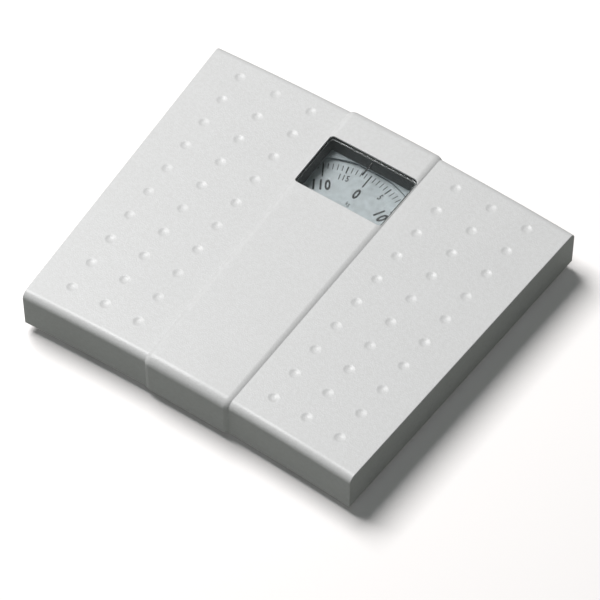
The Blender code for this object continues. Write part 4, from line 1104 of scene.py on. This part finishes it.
def metal(name, bright, dull, low_rough, high_rough, lines):
    """A metal between two colours and two roughnesses, with rolled lines this strong."""
    tree, sockets = finish(name, Metallic=1.0)
    sheet = use(tree, rolled, Lines=lines)
    tarnish = use(tree, dust, Amount=0.5, Size=300.0)
    colour = blend_colours(tree, ramp(tree, sheet["Shade"], 0.25, 0.75), bright, [c * 0.86 for c in bright])
    colour = blend_colours(tree, maths(tree, "MULTIPLY", tarnish["Smudge"], 0.55), colour, dull)
    rough = ramp(tree, maths(tree, "ADD", sheet["Shade"], tarnish["Smudge"]), 0.4, 1.5, low_rough, high_rough)
    wire_up(tree, sockets, colour, rough, sheet["Height"], depth=0.00003)


metal("zinc_steel", (0.66, 0.665, 0.66), (0.44, 0.445, 0.45), 0.26, 0.46, 1.0)
metal("spring_steel", (0.42, 0.42, 0.43), (0.20, 0.19, 0.19), 0.22, 0.42, 0.8)
metal("pinion_brass", (0.80, 0.60, 0.28), (0.45, 0.31, 0.14), 0.24, 0.44, 0.6)

# %% [markdown]
# ## Clear plastic
# The window is clear plastic with faint smudges. Lamps can't shine straight through a glass shader,
# so for shadow and diffuse rays it is mixed with a transparent one, and the dial gets its light.

# %% Window
tree, sockets = finish("lens_clear", IOR=1.49, Transmission_Weight=1.0)
smudges = use(tree, dust, Amount=0.5, Size=90.0)
tint = blend_colours(tree, ramp(tree, smudges["Mask"], 0.0, 0.5), (0.975, 0.985, 0.985), (0.93, 0.945, 0.945))
tree.links.new(tint, sockets["Base Color"])
tree.links.new(ramp(tree, smudges["Smudge"], 0.0, 1.0, 0.02, 0.09), sockets["Roughness"])
clear = add(tree, "ShaderNodeBsdfTransparent", {"Color": (0.94, 0.955, 0.955, 1.0)})
rays = add(tree, "ShaderNodeLightPath").outputs
lets_light = add(tree, "ShaderNodeMixShader", {
    0: maths(tree, "MAXIMUM", rays["Is Shadow Ray"], rays["Is Diffuse Ray"]),
    1: tree.nodes["Principled BSDF"].outputs["BSDF"],
    2: clear.outputs["BSDF"],
})
tree.links.new(lets_light.outputs[0], tree.nodes["Material Output"].inputs["Surface"])

# %% [markdown]
# ## Dress every piece
# Each piece was given its slot's name as it was made, so one loop puts the finishes on.

# %% Dress
for piece in bpy.data.objects:
    slot = piece.get("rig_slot") or slot_of.get(piece.name)
    if piece.type != "MESH" or slot not in finishes:
        continue
    piece.data.materials.clear()
    piece.data.materials.append(finishes[slot])
print("finishes", sorted(finishes))

# %% [markdown]
# # Camera, floor and light
# The scale is seen from its right front corner and well above, through a long lens. It stands on a
# pale floor under one large soft lamp.

# %% [markdown]
# ## The camera
# A long lens far away keeps the sides almost parallel. The camera is placed by its angle round the
# scale, its angle above the floor and its distance, and it looks back along the same line.

# %% Camera
CAMERA_AZIMUTH = math.radians(34.18)
CAMERA_ELEVATION = math.radians(54.12)
CAMERA_DISTANCE = 2.309
CAMERA_TARGET = Vector((0.02344, -0.02711, 0.0385))
CAMERA_LENS = 217.6
CAMERA_SENSOR = 36
back = Vector((
    math.sin(CAMERA_AZIMUTH) * math.cos(CAMERA_ELEVATION),
    -math.cos(CAMERA_AZIMUTH) * math.cos(CAMERA_ELEVATION),
    math.sin(CAMERA_ELEVATION),
))
bpy.ops.object.camera_add(location=CAMERA_TARGET + back * CAMERA_DISTANCE)
camera = bpy.context.object
camera.rotation_euler = back.to_track_quat("Z", "Y").to_euler()
camera.data.lens = CAMERA_LENS
camera.data.sensor_width = CAMERA_SENSOR
bpy.context.scene.camera = camera
print("camera at", [round(v, 3) for v in camera.location])

# %% [markdown]
# ## The floor
# The floor looks plain white to the camera, and is greyer to other rays so that it doesn't flood the
# skirt with light. It is see-through from below and lets shadow rays pass, so that a lamp under it
# can light the underside.

# %% Floor
FLOOR_SIZE = 8
FLOOR_SEEN = (1.27, 1.23, 1.22)
FLOOR_BOUNCE = (0.30, 0.31, 0.29)

bpy.ops.mesh.primitive_plane_add(size=FLOOR_SIZE, location=(0, 0, 0))
floor = named("floor")
paper = bpy.data.materials.new("studio_paper")
paper.use_nodes = True
tree = paper.node_tree
rays = add(tree, "ShaderNodeLightPath").outputs
colour = blend_colours(tree, rays["Is Camera Ray"], FLOOR_BOUNCE, FLOOR_SEEN)
behind = add(tree, "ShaderNodeNewGeometry").outputs["Backfacing"]
one_way = add(tree, "ShaderNodeMixShader", {
    0: maths(tree, "MAXIMUM", behind, rays["Is Shadow Ray"]),
    1: add(tree, "ShaderNodeBsdfDiffuse", {"Color": colour}).outputs["BSDF"],
    2: add(tree, "ShaderNodeBsdfTransparent").outputs["BSDF"],
})
tree.links.new(one_way.outputs[0], tree.nodes["Material Output"].inputs["Surface"])
floor.data.materials.append(paper)
print("floor", FLOOR_SIZE, "m wide")

# %% [markdown]
# ## The lights
# One large soft lamp, high and on the left, gives the bright treads, the darker front and the shadow
# in the window's well. A weak cool lamp in front keeps the skirt from going black, and a faint even
# sky fills the rest.

# %% Lights
SKY = (0.95, 1.0, 0.96, 1)
SKY_STRENGTH = 0.08


def area_light(name, place, size, power, colour=(1, 1, 1)):
    """A square lamp that points at the middle of the floor."""
    bpy.ops.object.light_add(type="AREA", location=place)
    light = bpy.context.object
    light.name = name
    light.rotation_euler = Vector(place).to_track_quat("Z", "Y").to_euler()
    light.data.size = size
    light.data.energy = power
    light.data.color = colour


area_light("key_light", (-1.12, 0.16, 2.23), size=1.3, power=57)
area_light("front_light", (0.4, -0.8, 2.2), size=1.0, power=2, colour=(0.85, 0.97, 1.0))
area_light("under_light", (-0.5, 0.6, -1.7), size=1.4, power=16)
world = bpy.data.worlds.new("studio")
bpy.context.scene.world = world
world.use_nodes = True
sky = world.node_tree.nodes["Background"].inputs
sky["Color"].default_value = SKY
sky["Strength"].default_value = SKY_STRENGTH
bpy.context.scene.view_settings.view_transform = "Standard"
